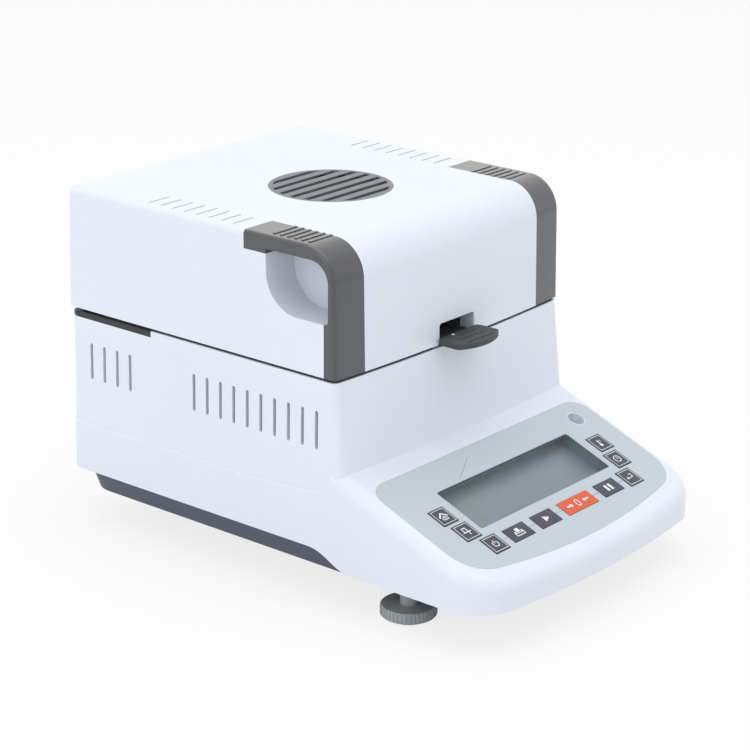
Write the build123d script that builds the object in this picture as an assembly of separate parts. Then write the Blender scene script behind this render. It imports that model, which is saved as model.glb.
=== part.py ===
from build123d import *
import os
from math import cos, radians, sin, tan

# A halogen moisture analyzer: a base with a sloped key panel, a chamber housing that holds the
# weighing pan, and a hinged lid with the ring lamp. Millimetres, X to the right, Y to the rear, Z up.
# The origin is on the table, under the middle of the instrument.

# Base
BASE_WIDTH = 205.0
BASE_LENGTH = 316.0
BASE_FRONT_BOW = 8.9
BASE_FRONT_CORNER_R = 26.0
BASE_REAR_CORNER_R = 10.0
BASE_SIDE_Z = 32.5
SKIRT_Z = 22.8
SKIRT_RISE_Y = -29.0
SKIRT_RISE_LENGTH = 32.0
SEAM_Z = 62.5
SEAM_CUSP_DROP = 6.2
SEAM_CUSP_INSET = 2.0
SEAM_FOOT_RISE = 2.4
SEAM_FOOT_LENGTH = 19.0
SEAM_RAMP_LENGTH = 40.0
SEAM_CUSP_RUN = (0.45, -1.0)
SEAM_FOOT_RUN = (1.0, -0.06)
SEAM_EDGE_R = 1.0
WALL = 2.5
FIT_GAP = 0.3
SHAFT_GAP = 0.05

# Sloped panel
DECK_ANGLE = 21.5
DECK_EDGE_R = 8.0
DECK_REF_BEFORE_LID = 5.0
DECK_REF_Z = 78.35
FILM_THICKNESS = 0.5
FILM_HALF_WIDTH = 95.5
FILM_TOP_S = 15.0
FILM_APEX_S = 103.2
FILM_BOW = 11.5
FILM_REAR_CORNER_R = 12.0
FILM_FRONT_CORNER_R = 22.0
FILM_CLEARANCE = 0.15

# Display
LCD_WIDTH = 120.0
LCD_LENGTH = 33.6
LCD_S = 52.2
LCD_CORNER_R = 1.6
LCD_LIP = 1.2
LCD_GLASS_THICKNESS = 1.1
LCD_BODY_MARGIN = 3.0
LCD_BODY_DEPTH = 6.0

# Keys: column positions from the middle line and rows down the slope
SMALL_KEY_WIDTH = 12.4
SMALL_KEY_LENGTH = 12.7
WIDE_KEY_WIDTH = 18.0
TARE_KEY_WIDTH = 28.0
ROW_KEY_LENGTH = 10.4
HOME_COLUMN_X = 72.8
MENU_COLUMN_X = 70.4
POWER_COLUMN_X = 63.1
PRINT_COLUMN_X = 42.2
START_KEY_X = -17.5
TARE_KEY_X = 12.3
FIRST_ROW_S = 51.5
SECOND_ROW_S = 66.6
THIRD_ROW_S = 81.4
KEY_PROUD = 0.3
KEY_CLEARANCE = 0.25
KEY_FLANGE = 0.7
KEY_FLANGE_THICKNESS = 1.0
KEY_TRAVEL = 0.4
KEY_BOARD_GAP = 0.1
BOARD_THICKNESS = 1.6
BOARD_MARGIN = 3.0
BOARD_POST_R = 2.2
BOARD_POST_GAP = 1.0

# Level
LEVEL_X = 78.4
LEVEL_S = 28.8
LEVEL_RADIUS = 5.2
LEVEL_WALL = 0.6
LEVEL_DEPTH = 7.0

# Lid
LID_WIDTH = 200.0
LID_LENGTH = 204.5
LID_HEIGHT = 71.6
LID_REAR_INSET = 0.5
LID_FRONT_BOW = 3.6
LID_FRONT_LEAN = 1.5
LID_REAR_LEAN = 2.5
LID_NOSE_R = 20.0
LID_EDGE_R = 4.0
LID_GAP = 1.7

# Housing around the chamber
HOUSING_TOP_Z = 129.3
HOUSING_FLARE = 1.0
HOUSING_FRONT_FLARE = 5.9
HOUSING_FOOT_BOW = 2.5
HOUSING_EDGE_R = 5.0
REAR_VENT_Y = 107.0
REAR_VENT_COUNT = 4
REAR_VENT_PITCH = 10.4
FRONT_VENT_Y = -34.4
FRONT_VENT_COUNT = 10
FRONT_VENT_PITCH = 10.1
SIDE_VENT_WIDTH = 2.2
SIDE_VENT_HEIGHT = 22.0
SIDE_VENT_Z = 100.8

# Hinge
HINGE_PLATE_FRONT_Y = 90.0
HINGE_PLATE_THICKNESS = 3.5
HINGE_PLATE_REAR_STEP = 11.0
HINGE_PLATE_REAR_DROP = 1.7
HINGE_AXIS_BEFORE_REAR = 5.0
HINGE_AXIS_ABOVE_LID = 2.8
HINGE_X = 60.0
HINGE_PIN_R = 1.5
HINGE_BARREL_R = 3.2
HINGE_BARREL_LENGTH = 14.0
HINGE_ARM_BARREL = 8.0
HINGE_LEAF_THICKNESS = 1.4
HINGE_LEAF_LENGTH = 22.0
HINGE_NOTCH_HEIGHT = 8.5

# Chamber, pan and handler
CHAMBER_Y = 42.5
CHAMBER_R = 60.0
CHAMBER_DEPTH = 27.0
LINER_THICKNESS = 1.0
LINER_FLANGE = 5.0
SEAL_INSET = 1.2
SEAL_WIDTH = 2.0
SEAL_REAR_Y = 128.0
SEAL_OPENING = 20.0
WIND_RING_R = 57.5
WIND_RING_HEIGHT = 13.0
WIND_RING_THICKNESS = 1.2
PAN_R = 46.0
PAN_BOWL_R = 42.0
PAN_DEPTH = 7.0
PAN_SHEET = 0.8
PAN_ABOVE_FLOOR = 15.0
SUPPORT_ARM_WIDTH = 6.0
SUPPORT_ARM_THICKNESS = 2.0
SUPPORT_ARM_REACH = 34.0
SUPPORT_STEM_R = 4.0
SUPPORT_STEM_HOLE_R = 7.0
HANDLER_RING_R = 51.0
HANDLER_RING_THICKNESS = 2.0
HANDLER_NECK_WIDTH = 25.0
HANDLER_THICKNESS = 3.0
PADDLE_HALF_WIDTH = 18.3
PADDLE_ROOT_OUT = 0.4
PADDLE_LENGTH = 20.6
PADDLE_BOW = 5.6
PADDLE_STEP = 2.3
PADDLE_CORNER_R = 3.0
NOTCH_WIDTH = 31.0
NOTCH_HEIGHT = 12.0
NOTCH_DEPTH = 10.0
NOTCH_LINING = 1.2
NOTCH_TOP_R = 2.0
NOTCH_FOOT_R = 2.5

# Lid trim
HANDLE_WIDTH = 23.0
HANDLE_REAR = 65.0
HANDLE_STRIP = 7.6
HANDLE_BLOCK = 10.4
HANDLE_FRONT_STRIP = 5.0
HANDLE_LOWER_STRIP = 8.0
HANDLE_CORNER_R = 12.0
RIB_COUNT = 6
RIB_PITCH = 5.0
RIB_FIRST = 22.4
RIB_WIDTH = 1.6
RIB_HEIGHT = 0.45
RIB_OUTER_GAP = 5.0
HANDLE_EDGE_R = 2.2
POCKET_REAR = 49.0
POCKET_BOTTOM = 29.8
POCKET_CORNER_R = 22.0
GRILLE_R = 35.9
GRILLE_THICKNESS = 1.5
GRILLE_LEDGE = 2.5
GRILLE_SLOT_COUNT = 7
GRILLE_SLOT_PITCH = 9.45
GRILLE_SLOT_WIDTH = 4.0
GRILLE_FIELD = 0.6
TOP_VENT_COUNT = 8
TOP_VENT_PITCH = 9.2
TOP_VENT_FIRST = 77.0
TOP_VENT_LENGTH = 16.5
TOP_VENT_X = 86.8
TOP_VENT_WIDTH = 1.3

# Heating unit in the lid
LID_PLATE_Z = 13.5
LID_PLATE_THICKNESS = 1.5
LID_PLATE_REAR_GAP = 12.0
REFLECTOR_R = 52.0
REFLECTOR_HEIGHT = 24.0
REFLECTOR_TOP_R = 49.0
REFLECTOR_SHEET = 1.0
REFLECTOR_VENT_R = 14.0
LAMP_RING_R = 42.0
LAMP_TUBE_R = 4.0
LAMP_Z = 12.0
LAMP_HOLDER_WIDTH = 12.0
LAMP_HOLDER_DEPTH = 12.0
LAMP_HOLDER_TURNS = (90.0, 210.0, 330.0)
GLASS_R = 48.0
GLASS_THICKNESS = 2.0
RETAINER_WIDTH = 4.0
RETAINER_THICKNESS = 1.2
PROBE_R = 1.6
PROBE_LENGTH = 22.0

# Bottom tray and feet
TRAY_BOTTOM_Z = 19.5
TRAY_HEIGHT = 16.0
TRAY_TOP_SIDE_GAP = 0.6
TRAY_LEAN = 4.0
TRAY_CORNER_R = 18.0
FOOT_X = 81.5
FOOT_Y = -84.0
WHEEL_R = 15.7
WHEEL_BOTTOM_Z = 1.3
WHEEL_HEIGHT = 6.2
WHEEL_HUB_R = 4.8
WHEEL_GROOVES = 40
WHEEL_GROOVE_R = 0.75
STUD_R = 4.0
STUD_LENGTH = 34.0
PAD_R = 12.5
PAD_THICKNESS = 1.0
PAD_PIN_R = 3.0
PAD_PIN_LENGTH = 4.0
BUSH_R = 7.0
BUSH_LENGTH = 12.0
REAR_FOOT_X = 50.0
REAR_FOOT_Y = 123.0
REAR_FOOT_R = 10.0

# Electrics and fixings
INLET_X = 58.0
INLET_WIDTH = 28.0
INLET_HEIGHT = 20.5
INLET_DEPTH = 18.0
INLET_FLANGE = 2.6
INLET_SOCKET_DEPTH = 14.0
INLET_SOCKET_WALL = 1.5
INLET_PIN_PLACES = ((-7.0, -2.0), (0.0, 3.0), (7.0, -2.0))
INLET_PIN_WIDTH = 2.0
INLET_PIN_HEIGHT = 4.0
FLANGE_OVERHANG = 1.0
REAR_PANEL_Z = 47.6
SWITCH_X = 18.0
SWITCH_WIDTH = 21.0
SWITCH_HEIGHT = 15.0
SWITCH_DEPTH = 14.0
SWITCH_TILT = 8.0
SWITCH_WALL = 1.0
ROCKER_DISH = 1.0
PORT_X = -40.0
PORT_WIDTH = 31.0
PORT_HEIGHT = 12.5
PORT_SHELL_TOP = 8.5
PORT_SHELL_BOTTOM = 7.2
PORT_SHELL_SIDE = 4.2
PORT_SHELL_R = 1.5
PORT_SHELL_DEPTH = 1.0
SUPPLY_X = 52.0
SUPPLY_Y = 100.0
SUPPLY_SIZE = (70.0, 58.0, 28.0)
MAIN_BOARD_X = -53.0
MAIN_BOARD_Y = 92.0
MAIN_BOARD_SIZE = (76.0, 70.0)
MAIN_BOARD_PARTS = ((-0.2, 0.1, 0.22, 2.0), (0.25, -0.2, 0.16, 9.0), (0.1, 0.3, 0.2, 6.0))
BOARD_LIFT = 8.0
CELL_LENGTH = 80.0
CELL_WIDTH = 20.0
CELL_HEIGHT = 22.0
CELL_Z = 40.0
ROCKER_AXLE_R = 1.2
ROCKER_INSET = 6.5
ROCKER_PLAY = 0.9
SCREW_R = 1.6
SCREW_HEAD_R = 3.0
SCREW_HEAD_THICKNESS = 1.6
SCREW_LENGTH = 10.0
BUMPER_R = 3.5
BUMPER_INSET_X = 12.0
BUMPER_INSET_Y = 4.2
HOUSING_SCREW_X = 87.0
HOUSING_SCREW_Y = (-20.0, 138.0)
FRONT_SCREW_X = 50.0
FRONT_SCREW_Y = -141.0
SCREW_POST_R = 4.0
LID_SCREWS = ((66.0, -28.0), (84.0, 128.0))

# Values worked out from the sizes above
HALF_WIDTH = BASE_WIDTH / 2
FRONT_Y = -BASE_LENGTH / 2
REAR_Y = BASE_LENGTH / 2
LID_REAR_Y = REAR_Y - LID_REAR_INSET
LID_FRONT_Y = LID_REAR_Y - LID_LENGTH
LID_Z = HOUSING_TOP_Z + LID_GAP
LID_TOP_Z = LID_Z + LID_HEIGHT
DECK_REF_Y = LID_FRONT_Y - DECK_REF_BEFORE_LID
SLOPE = radians(DECK_ANGLE)
DECK = Plane(origin=(0, DECK_REF_Y, DECK_REF_Z), x_dir=(1, 0, 0), z_dir=(0, -sin(SLOPE), cos(SLOPE)))
SEAM_CUSP_Y = LID_FRONT_Y + SEAM_CUSP_INSET
TRAY_TOP_Z = TRAY_BOTTOM_Z + TRAY_HEIGHT
HINGE_Y = LID_REAR_Y - HINGE_AXIS_BEFORE_REAR + LID_REAR_INSET
HINGE_Z = LID_Z + HINGE_AXIS_ABOVE_LID
HINGE_PLATE_Z = HOUSING_TOP_Z - HINGE_PLATE_THICKNESS
HINGE_SEAT_Z = HOUSING_TOP_Z - HINGE_PLATE_REAR_DROP
CHAMBER_FLOOR_Z = HOUSING_TOP_Z - CHAMBER_DEPTH
PAN_Z = CHAMBER_FLOOR_Z + PAN_ABOVE_FLOOR
PLATE_Z = LID_Z + LID_PLATE_Z
PLATE_TOP_Z = PLATE_Z + LID_PLATE_THICKNESS
WHEEL_TOP_Z = WHEEL_BOTTOM_Z + WHEEL_HEIGHT
KEY_BOARD_DEPTH = WALL + FIT_GAP + KEY_FLANGE_THICKNESS + KEY_TRAVEL + KEY_BOARD_GAP
BOARD_POST_X = HOME_COLUMN_X + SMALL_KEY_WIDTH / 2 + KEY_FLANGE + BOARD_POST_R + BOARD_POST_GAP
HANDLE_INNER_X = LID_WIDTH / 2 - HANDLE_WIDTH
BUMPER_X = LID_WIDTH / 2 - BUMPER_INSET_X
BUMPER_Y = LID_FRONT_Y + BUMPER_INSET_Y
HOUSING_FOREMOST_Y = LID_FRONT_Y - LID_FRONT_BOW
NECK_Z = HOUSING_TOP_Z + FIT_GAP
RIM_Z = PAN_Z + PAN_DEPTH - PAN_SHEET
TRAY_FLOOR_Z = TRAY_BOTTOM_Z + WALL
HUB_TOP_Z = TRAY_BOTTOM_Z - FIT_GAP
FRONT_POINTS = [(-FRONT_SCREW_X, FRONT_SCREW_Y), (FRONT_SCREW_X, FRONT_SCREW_Y)]
HOUSING_POINTS = [(side * HOUSING_SCREW_X, y) for side in (-1, 1) for y in HOUSING_SCREW_Y]
LID_POINTS = [(side * x, y) for side in (-1, 1) for x, y in LID_SCREWS]
ROCKER_Y = REAR_Y - ROCKER_INSET
PROBE_Y = CHAMBER_Y + GLASS_R + RETAINER_WIDTH + 3 * PROBE_R
REACH = 400.0
LINER_RECESS_R = CHAMBER_R + LINER_THICKNESS + LINER_FLANGE + FIT_GAP

KEYS = {
    "key_home": (-HOME_COLUMN_X, FIRST_ROW_S, SMALL_KEY_WIDTH, SMALL_KEY_LENGTH),
    "key_menu": (-MENU_COLUMN_X, SECOND_ROW_S, SMALL_KEY_WIDTH, SMALL_KEY_LENGTH),
    "key_power": (-POWER_COLUMN_X, THIRD_ROW_S, SMALL_KEY_WIDTH, SMALL_KEY_LENGTH),
    "key_print": (-PRINT_COLUMN_X, THIRD_ROW_S, WIDE_KEY_WIDTH, ROW_KEY_LENGTH),
    "key_start": (START_KEY_X, THIRD_ROW_S, WIDE_KEY_WIDTH, ROW_KEY_LENGTH),
    "key_tare": (TARE_KEY_X, THIRD_ROW_S, TARE_KEY_WIDTH, ROW_KEY_LENGTH),
    "key_stop": (PRINT_COLUMN_X, THIRD_ROW_S, WIDE_KEY_WIDTH, ROW_KEY_LENGTH),
    "key_enter": (POWER_COLUMN_X, THIRD_ROW_S, SMALL_KEY_WIDTH, SMALL_KEY_LENGTH),
    "key_clock": (MENU_COLUMN_X, SECOND_ROW_S, SMALL_KEY_WIDTH, SMALL_KEY_LENGTH),
    "key_temperature": (HOME_COLUMN_X, FIRST_ROW_S, SMALL_KEY_WIDTH, SMALL_KEY_LENGTH),
}


def span_box(x0, x1, y0, y1, z0, z1):
    """A box between two opposite corners."""
    return Pos((x0 + x1) / 2, (y0 + y1) / 2, (z0 + z1) / 2) * Box(x1 - x0, y1 - y0, z1 - z0)


def post(x, y, radius, z0, z1):
    """An upright cylinder from z0 to z1."""
    return Pos(x, y, (z0 + z1) / 2) * Cylinder(radius, z1 - z0)


def cross_rod(x0, x1, y, z, radius):
    """A cylinder along X from x0 to x1."""
    return Pos((x0 + x1) / 2, y, z) * Rot(0, 90, 0) * Cylinder(radius, x1 - x0)


def deck_box(x, s, width, length, top, thickness, corner=0.0):
    """A flat block on the panel, s down the slope, with its upper face top above the panel."""
    outline = Rectangle(width, length)
    if corner:
        outline = RectangleRounded(width, length, corner)
    return extrude(DECK * Pos(x, -s, top) * outline, amount=-thickness)


def bowed_face(half_width, front_y, rear_y, bow):
    """A rectangle whose front edge bows forward by bow, so that front_y is its foremost point."""
    left = (-half_width, front_y + bow)
    right = (half_width, front_y + bow)
    outline = Polyline(right, (half_width, rear_y), (-half_width, rear_y), left)
    return make_face(outline + ThreePointArc(left, (0, front_y), right))


def across(outline, half_width):
    """A side outline, drawn in Y and Z, drawn out to both sides of the middle."""
    return extrude(Plane.YZ * outline, amount=half_width, both=True)


def deck_height(y):
    """Height of the panel plane at y."""
    return DECK_REF_Z + (y - DECK_REF_Y) * tan(SLOPE)


def base_block(inset):
    """The filled base under the panel plane, with its rounded panel edge, drawn in by inset."""
    rear = REAR_Y + BASE_REAR_CORNER_R
    plan = bowed_face(HALF_WIDTH - inset, FRONT_Y + inset, rear, BASE_FRONT_BOW)
    plan = fillet(plan.vertices().group_by(Axis.Y)[0], BASE_FRONT_CORNER_R - inset)
    block = extrude(plan, amount=deck_height(rear) + WALL)
    drop = inset / cos(SLOPE)
    above = Polyline((-REACH, deck_height(-REACH) - drop), (REACH, deck_height(REACH) - drop),
                     (REACH, 2 * REACH), (-REACH, 2 * REACH), close=True)
    block -= across(make_face(above), REACH)
    top = block.faces().sort_by(Axis((0, 0, 0), DECK.z_dir))[-1]
    rim = [edge for edge in top.edges() if edge.center().Y < REAR_Y]
    block = fillet(rim, DECK_EDGE_R - inset)
    keep = Rectangle(2 * (HALF_WIDTH - inset), 2 * REAR_Y)
    keep = fillet(keep.vertices().group_by(Axis.Y)[-1], BASE_REAR_CORNER_R - inset)
    return block & extrude(Pos(0, -inset) * keep, amount=REACH)


def base_side_face():
    """The side outline of the base: seam curve above, lifted skirt below."""
    cusp = (SEAM_CUSP_Y, deck_height(SEAM_CUSP_Y) - SEAM_CUSP_DROP)
    foot = (SEAM_CUSP_Y + SEAM_FOOT_LENGTH, SEAM_Z + SEAM_FOOT_RISE)
    ramp = (foot[0] + SEAM_RAMP_LENGTH, SEAM_Z)
    skirt_front = (SKIRT_RISE_Y - SKIRT_RISE_LENGTH, SKIRT_Z)
    skirt_rear = (SKIRT_RISE_Y, BASE_SIDE_Z)
    outline = Spline(cusp, foot, tangents=[SEAM_CUSP_RUN, SEAM_FOOT_RUN])
    outline += Polyline(foot, ramp, (REACH, SEAM_Z), (REACH, BASE_SIDE_Z), skirt_rear)
    outline += Spline(skirt_rear, skirt_front, tangents=[(-1, 0), (-1, 0)])
    outline += Polyline(skirt_front, (-REACH, SKIRT_Z), (-REACH, REACH), (SEAM_CUSP_Y, REACH), cusp)
    return make_face(outline)


def base_solid():
    """The base as a filled solid between its skirt and its softened seam."""
    block = base_block(0.0) & across(base_side_face(), REACH)
    rim = [edge for edge in block.edges() if edge.center().Y > REAR_Y - BASE_REAR_CORNER_R]
    return fillet([edge for edge in rim if edge.center().Z > SEAM_Z - SEAM_EDGE_R], SEAM_EDGE_R)


def film_face(grow):
    """Outline of the panel film on the panel plane, grown by a clearance."""
    left = (-FILM_HALF_WIDTH, -FILM_APEX_S + FILM_BOW)
    right = (FILM_HALF_WIDTH, -FILM_APEX_S + FILM_BOW)
    outline = Polyline(right, (FILM_HALF_WIDTH, -FILM_TOP_S), (-FILM_HALF_WIDTH, -FILM_TOP_S), left)
    face = make_face(outline + ThreePointArc(left, (0, -FILM_APEX_S), right))
    face = fillet(face.vertices().group_by(Axis.Y)[-1], FILM_REAR_CORNER_R)
    face = fillet([v for v in face.vertices() if v.Y < -FILM_APEX_S + FILM_BOW + WALL], FILM_FRONT_CORNER_R)
    return offset(face, amount=grow) if grow else face


def make_base_housing():
    """White lower casing with the sloped panel, its openings and its fixing posts."""
    shell = base_solid() - base_block(WALL)
    for x, y in FRONT_POINTS:
        shell += post(x, y, SCREW_POST_R, TRAY_FLOOR_Z, deck_height(y)) & base_solid()
    for side in (-1, 1):
        for s in (FIRST_ROW_S, THIRD_ROW_S):
            height = KEY_BOARD_DEPTH - WALL / 2
            shell += DECK * Pos(side * BOARD_POST_X, -s, -WALL / 2 - height / 2) * Cylinder(BOARD_POST_R, height)
    for x, width, height in ((INLET_X, INLET_WIDTH, INLET_HEIGHT), (SWITCH_X, SWITCH_WIDTH, SWITCH_HEIGHT),
                             (PORT_X, PORT_WIDTH, PORT_HEIGHT)):
        shell -= Pos(x, REAR_Y, REAR_PANEL_Z) * Box(width, 4 * WALL, height)
    shell -= extrude(DECK * film_face(FILM_CLEARANCE), amount=-FILM_THICKNESS)
    shell -= extrude(DECK * film_face(FILM_CLEARANCE), amount=WALL)
    shell -= deck_box(0, LCD_S, LCD_WIDTH + 2 * LCD_LIP, LCD_LENGTH + 2 * LCD_LIP, WALL, 3 * WALL)
    for x, s, width, length in KEYS.values():
        shell -= deck_box(x, s, width + 2 * KEY_CLEARANCE, length + 2 * KEY_CLEARANCE, WALL, 3 * WALL)
    shell -= DECK * Pos(LEVEL_X, -LEVEL_S, 0) * Cylinder(LEVEL_RADIUS + LEVEL_WALL + SHAFT_GAP, 4 * WALL)
    for x, y in FRONT_POINTS:
        shell -= post(x, y, SCREW_R + SHAFT_GAP, TRAY_FLOOR_Z, TRAY_FLOOR_Z + SCREW_LENGTH)
    return shell


def housing_section(z, inset):
    """The housing's plan at height z, drawn in by inset: it flares towards its foot."""
    share = (HOUSING_TOP_Z - z) / (HOUSING_TOP_Z - SEAM_Z)
    half = (LID_WIDTH + LID_REAR_INSET) / 2 + share * HOUSING_FLARE - inset
    foremost = HOUSING_FOREMOST_Y - share * HOUSING_FRONT_FLARE + inset
    bow = LID_FRONT_BOW + share * (HOUSING_FOOT_BOW - LID_FRONT_BOW)
    plan = bowed_face(half, foremost, REAR_Y - inset, bow)
    plan = fillet(plan.vertices().group_by(Axis.Y)[0], HOUSING_EDGE_R - inset)
    plan = fillet(plan.vertices().group_by(Axis.Y)[-1], BASE_REAR_CORNER_R - inset)
    return Pos(0, 0, z) * plan


def side_vents():
    """Cutters for the upright slots in both side walls."""
    slots = []
    groups = ((REAR_VENT_Y, REAR_VENT_COUNT, REAR_VENT_PITCH), (FRONT_VENT_Y, FRONT_VENT_COUNT, FRONT_VENT_PITCH))
    for first, count, pitch in groups:
        for index in range(count):
            face = SlotOverall(SIDE_VENT_HEIGHT, SIDE_VENT_WIDTH, rotation=90)
            slots.append(across(Pos(first + index * pitch, SIDE_VENT_Z) * face, REACH))
    return slots


def plate_region():
    """Space of the hinge plate over the housing's rear, kept clear of the chamber's flange."""
    region = span_box(-REACH, REACH, HINGE_PLATE_FRONT_Y, REACH, HINGE_PLATE_Z, REACH)
    return region - post(0, CHAMBER_Y, LINER_RECESS_R + WALL, 0, REACH)


def make_chamber_housing():
    """White upper casing: the walls round the chamber, with their upright vents."""
    outer = loft([housing_section(SEAM_Z, 0), housing_section(HOUSING_TOP_Z, 0)])
    inner = loft([housing_section(SEAM_Z, WALL), housing_section(HOUSING_TOP_Z, WALL)])
    return outer - inner - base_solid() - plate_region() - side_vents()


def make_chamber_deck():
    """White deck inside the walls, on its screw posts, which holds the chamber liner."""
    deck = loft([housing_section(HOUSING_TOP_Z - WALL, WALL), housing_section(HOUSING_TOP_Z, WALL)])
    seat = loft([housing_section(HINGE_PLATE_Z - WALL, WALL), housing_section(HOUSING_TOP_Z, WALL)])
    deck += seat & span_box(-REACH, REACH, HINGE_PLATE_FRONT_Y - WALL, REACH, 0, REACH)
    for x, y in HOUSING_POINTS:
        deck += post(x, y, SCREW_POST_R, TRAY_FLOOR_Z, HOUSING_TOP_Z - WALL / 2)
        deck -= post(x, y, SCREW_R + SHAFT_GAP, TRAY_FLOOR_Z, TRAY_FLOOR_Z + SCREW_LENGTH)
    deck -= plate_region()
    deck -= post(0, CHAMBER_Y, CHAMBER_R + LINER_THICKNESS + FIT_GAP, HOUSING_TOP_Z - 4 * WALL, REACH)
    return deck - post(0, CHAMBER_Y, LINER_RECESS_R, HOUSING_TOP_Z - LINER_THICKNESS, REACH)


def make_lid_seal():
    """Rubber strip on the housing's top under the lid's rim, open at the handler's neck."""
    front = HOUSING_FOREMOST_Y + SEAL_INSET
    half = LID_WIDTH / 2 - SEAL_INSET
    strip = bowed_face(half, front, SEAL_REAR_Y, LID_FRONT_BOW)
    strip = fillet(strip.vertices().group_by(Axis.Y)[0], HOUSING_EDGE_R - SEAL_INSET)
    strip -= bowed_face(half - SEAL_WIDTH, front + SEAL_WIDTH, REACH, LID_FRONT_BOW)
    seal = extrude(Pos(0, 0, HOUSING_TOP_Z) * strip, amount=LID_GAP - FIT_GAP)
    seal -= span_box(-SEAL_OPENING, SEAL_OPENING, -REACH, CHAMBER_Y, 0, REACH)
    for side in (-1, 1):
        seal -= post(side * BUMPER_X, BUMPER_Y, BUMPER_R + FIT_GAP, 0, REACH)
    return list(seal.solids())


def make_hinge_plate():
    """Dark plate let into the rear of the housing's top, which carries the hinge brackets."""
    plate = loft([housing_section(HINGE_PLATE_Z, 0), housing_section(HOUSING_TOP_Z, 0)])
    plate &= plate_region()
    plate -= span_box(-REACH, REACH, REAR_Y - HINGE_PLATE_REAR_STEP, REACH, HINGE_SEAT_Z, REACH)
    for side in (-1, 1):
        half = HINGE_BARREL_LENGTH / 2 + FIT_GAP
        x = side * HINGE_X
        front = HINGE_Y - HINGE_LEAF_LENGTH - FIT_GAP
        plate -= span_box(x - half, x + half, front, REACH, HINGE_SEAT_Z, REACH)
    return plate


def make_hinge_brackets():
    """Two fixed knuckles, each with a leaf let into the hinge plate."""
    brackets = []
    for x in (-HINGE_X, HINGE_X):
        half = HINGE_BARREL_LENGTH / 2
        bracket = cross_rod(x - half, x + half, HINGE_Y, HINGE_Z, HINGE_BARREL_R)
        web_rear = HINGE_Y - HINGE_BARREL_R + 2 * HINGE_LEAF_THICKNESS
        bracket += span_box(x - half, x + half, HINGE_Y - HINGE_BARREL_R, web_rear, HINGE_SEAT_Z, HINGE_Z)
        bracket += span_box(x - half, x + half, HINGE_Y - HINGE_LEAF_LENGTH, web_rear,
                            HINGE_SEAT_Z, HINGE_SEAT_Z + HINGE_LEAF_THICKNESS)
        brackets.append(bracket - cross_rod(x - half, x + half, HINGE_Y, HINGE_Z, HINGE_PIN_R))
    return brackets


def make_hinge_pins():
    """Two hinge pins, pressed into the fixed knuckles."""
    reach = HINGE_BARREL_LENGTH / 2 + FIT_GAP + HINGE_ARM_BARREL
    return [cross_rod(x - reach, x + reach, HINGE_Y, HINGE_Z, HINGE_PIN_R) for x in (-HINGE_X, HINGE_X)]


def make_lid_hinge_arms():
    """Two moving hinge halves: paired knuckles on a bracket under the lid's inner plate."""
    arms = []
    for x in (-HINGE_X, HINGE_X):
        inner = HINGE_BARREL_LENGTH / 2 + FIT_GAP
        outer = inner + HINGE_ARM_BARREL
        front = HINGE_Y - HINGE_BARREL_R
        web_rear = front + HINGE_LEAF_THICKNESS
        arm = span_box(x - outer, x + outer, front, web_rear, HINGE_Z, PLATE_Z)
        clear_z = HINGE_Z + HINGE_BARREL_R + 2 * FIT_GAP
        arm -= span_box(x - inner, x + inner, front - WALL, web_rear + WALL, 0, clear_z)
        for side in (-1, 1):
            near, far = sorted((x + side * inner, x + side * outer))
            arm += cross_rod(near, far, HINGE_Y, HINGE_Z, HINGE_BARREL_R)
        arm += span_box(x - outer, x + outer, HINGE_Y - HINGE_LEAF_LENGTH, web_rear,
                        PLATE_Z - HINGE_LEAF_THICKNESS, PLATE_Z)
        arms.append(arm - cross_rod(x - outer, x + outer, HINGE_Y, HINGE_Z, HINGE_PIN_R + SHAFT_GAP))
    return arms


def make_chamber_liner():
    """Steel cup of the drying chamber, hung by its flange from the housing's deck."""
    outer_r = CHAMBER_R + LINER_THICKNESS
    cup = post(0, CHAMBER_Y, outer_r, CHAMBER_FLOOR_Z - LINER_THICKNESS, HOUSING_TOP_Z)
    cup += post(0, CHAMBER_Y, outer_r + LINER_FLANGE, HOUSING_TOP_Z - LINER_THICKNESS, HOUSING_TOP_Z)
    cup -= post(0, CHAMBER_Y, CHAMBER_R, CHAMBER_FLOOR_Z, REACH)
    return cup - post(0, CHAMBER_Y, SUPPORT_STEM_HOLE_R, 0, REACH)


def make_wind_ring():
    """Draught shield ring that stands on the chamber floor."""
    top = CHAMBER_FLOOR_Z + WIND_RING_HEIGHT
    ring = post(0, CHAMBER_Y, WIND_RING_R, CHAMBER_FLOOR_Z, top)
    return ring - post(0, CHAMBER_Y, WIND_RING_R - WIND_RING_THICKNESS, 0, REACH)


def make_pan_support():
    """Cross that carries the pan, on a stem that stands on the load cell."""
    top = PAN_Z - FIT_GAP
    under = top - SUPPORT_ARM_THICKNESS
    stem = post(0, CHAMBER_Y, SUPPORT_STEM_R, CELL_Z + CELL_HEIGHT, top)
    for x, y in ((SUPPORT_ARM_REACH, SUPPORT_ARM_WIDTH / 2), (SUPPORT_ARM_WIDTH / 2, SUPPORT_ARM_REACH)):
        stem += span_box(-x, x, CHAMBER_Y - y, CHAMBER_Y + y, under, top)
    return stem


def make_sample_pan():
    """Shallow aluminium pan with a turned rim."""
    rim_top = PAN_Z + PAN_DEPTH
    pan = post(0, CHAMBER_Y, PAN_BOWL_R, PAN_Z, rim_top)
    pan += post(0, CHAMBER_Y, PAN_R, RIM_Z, rim_top)
    return pan - post(0, CHAMBER_Y, PAN_BOWL_R - PAN_SHEET, PAN_Z + PAN_SHEET, REACH)


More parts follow.
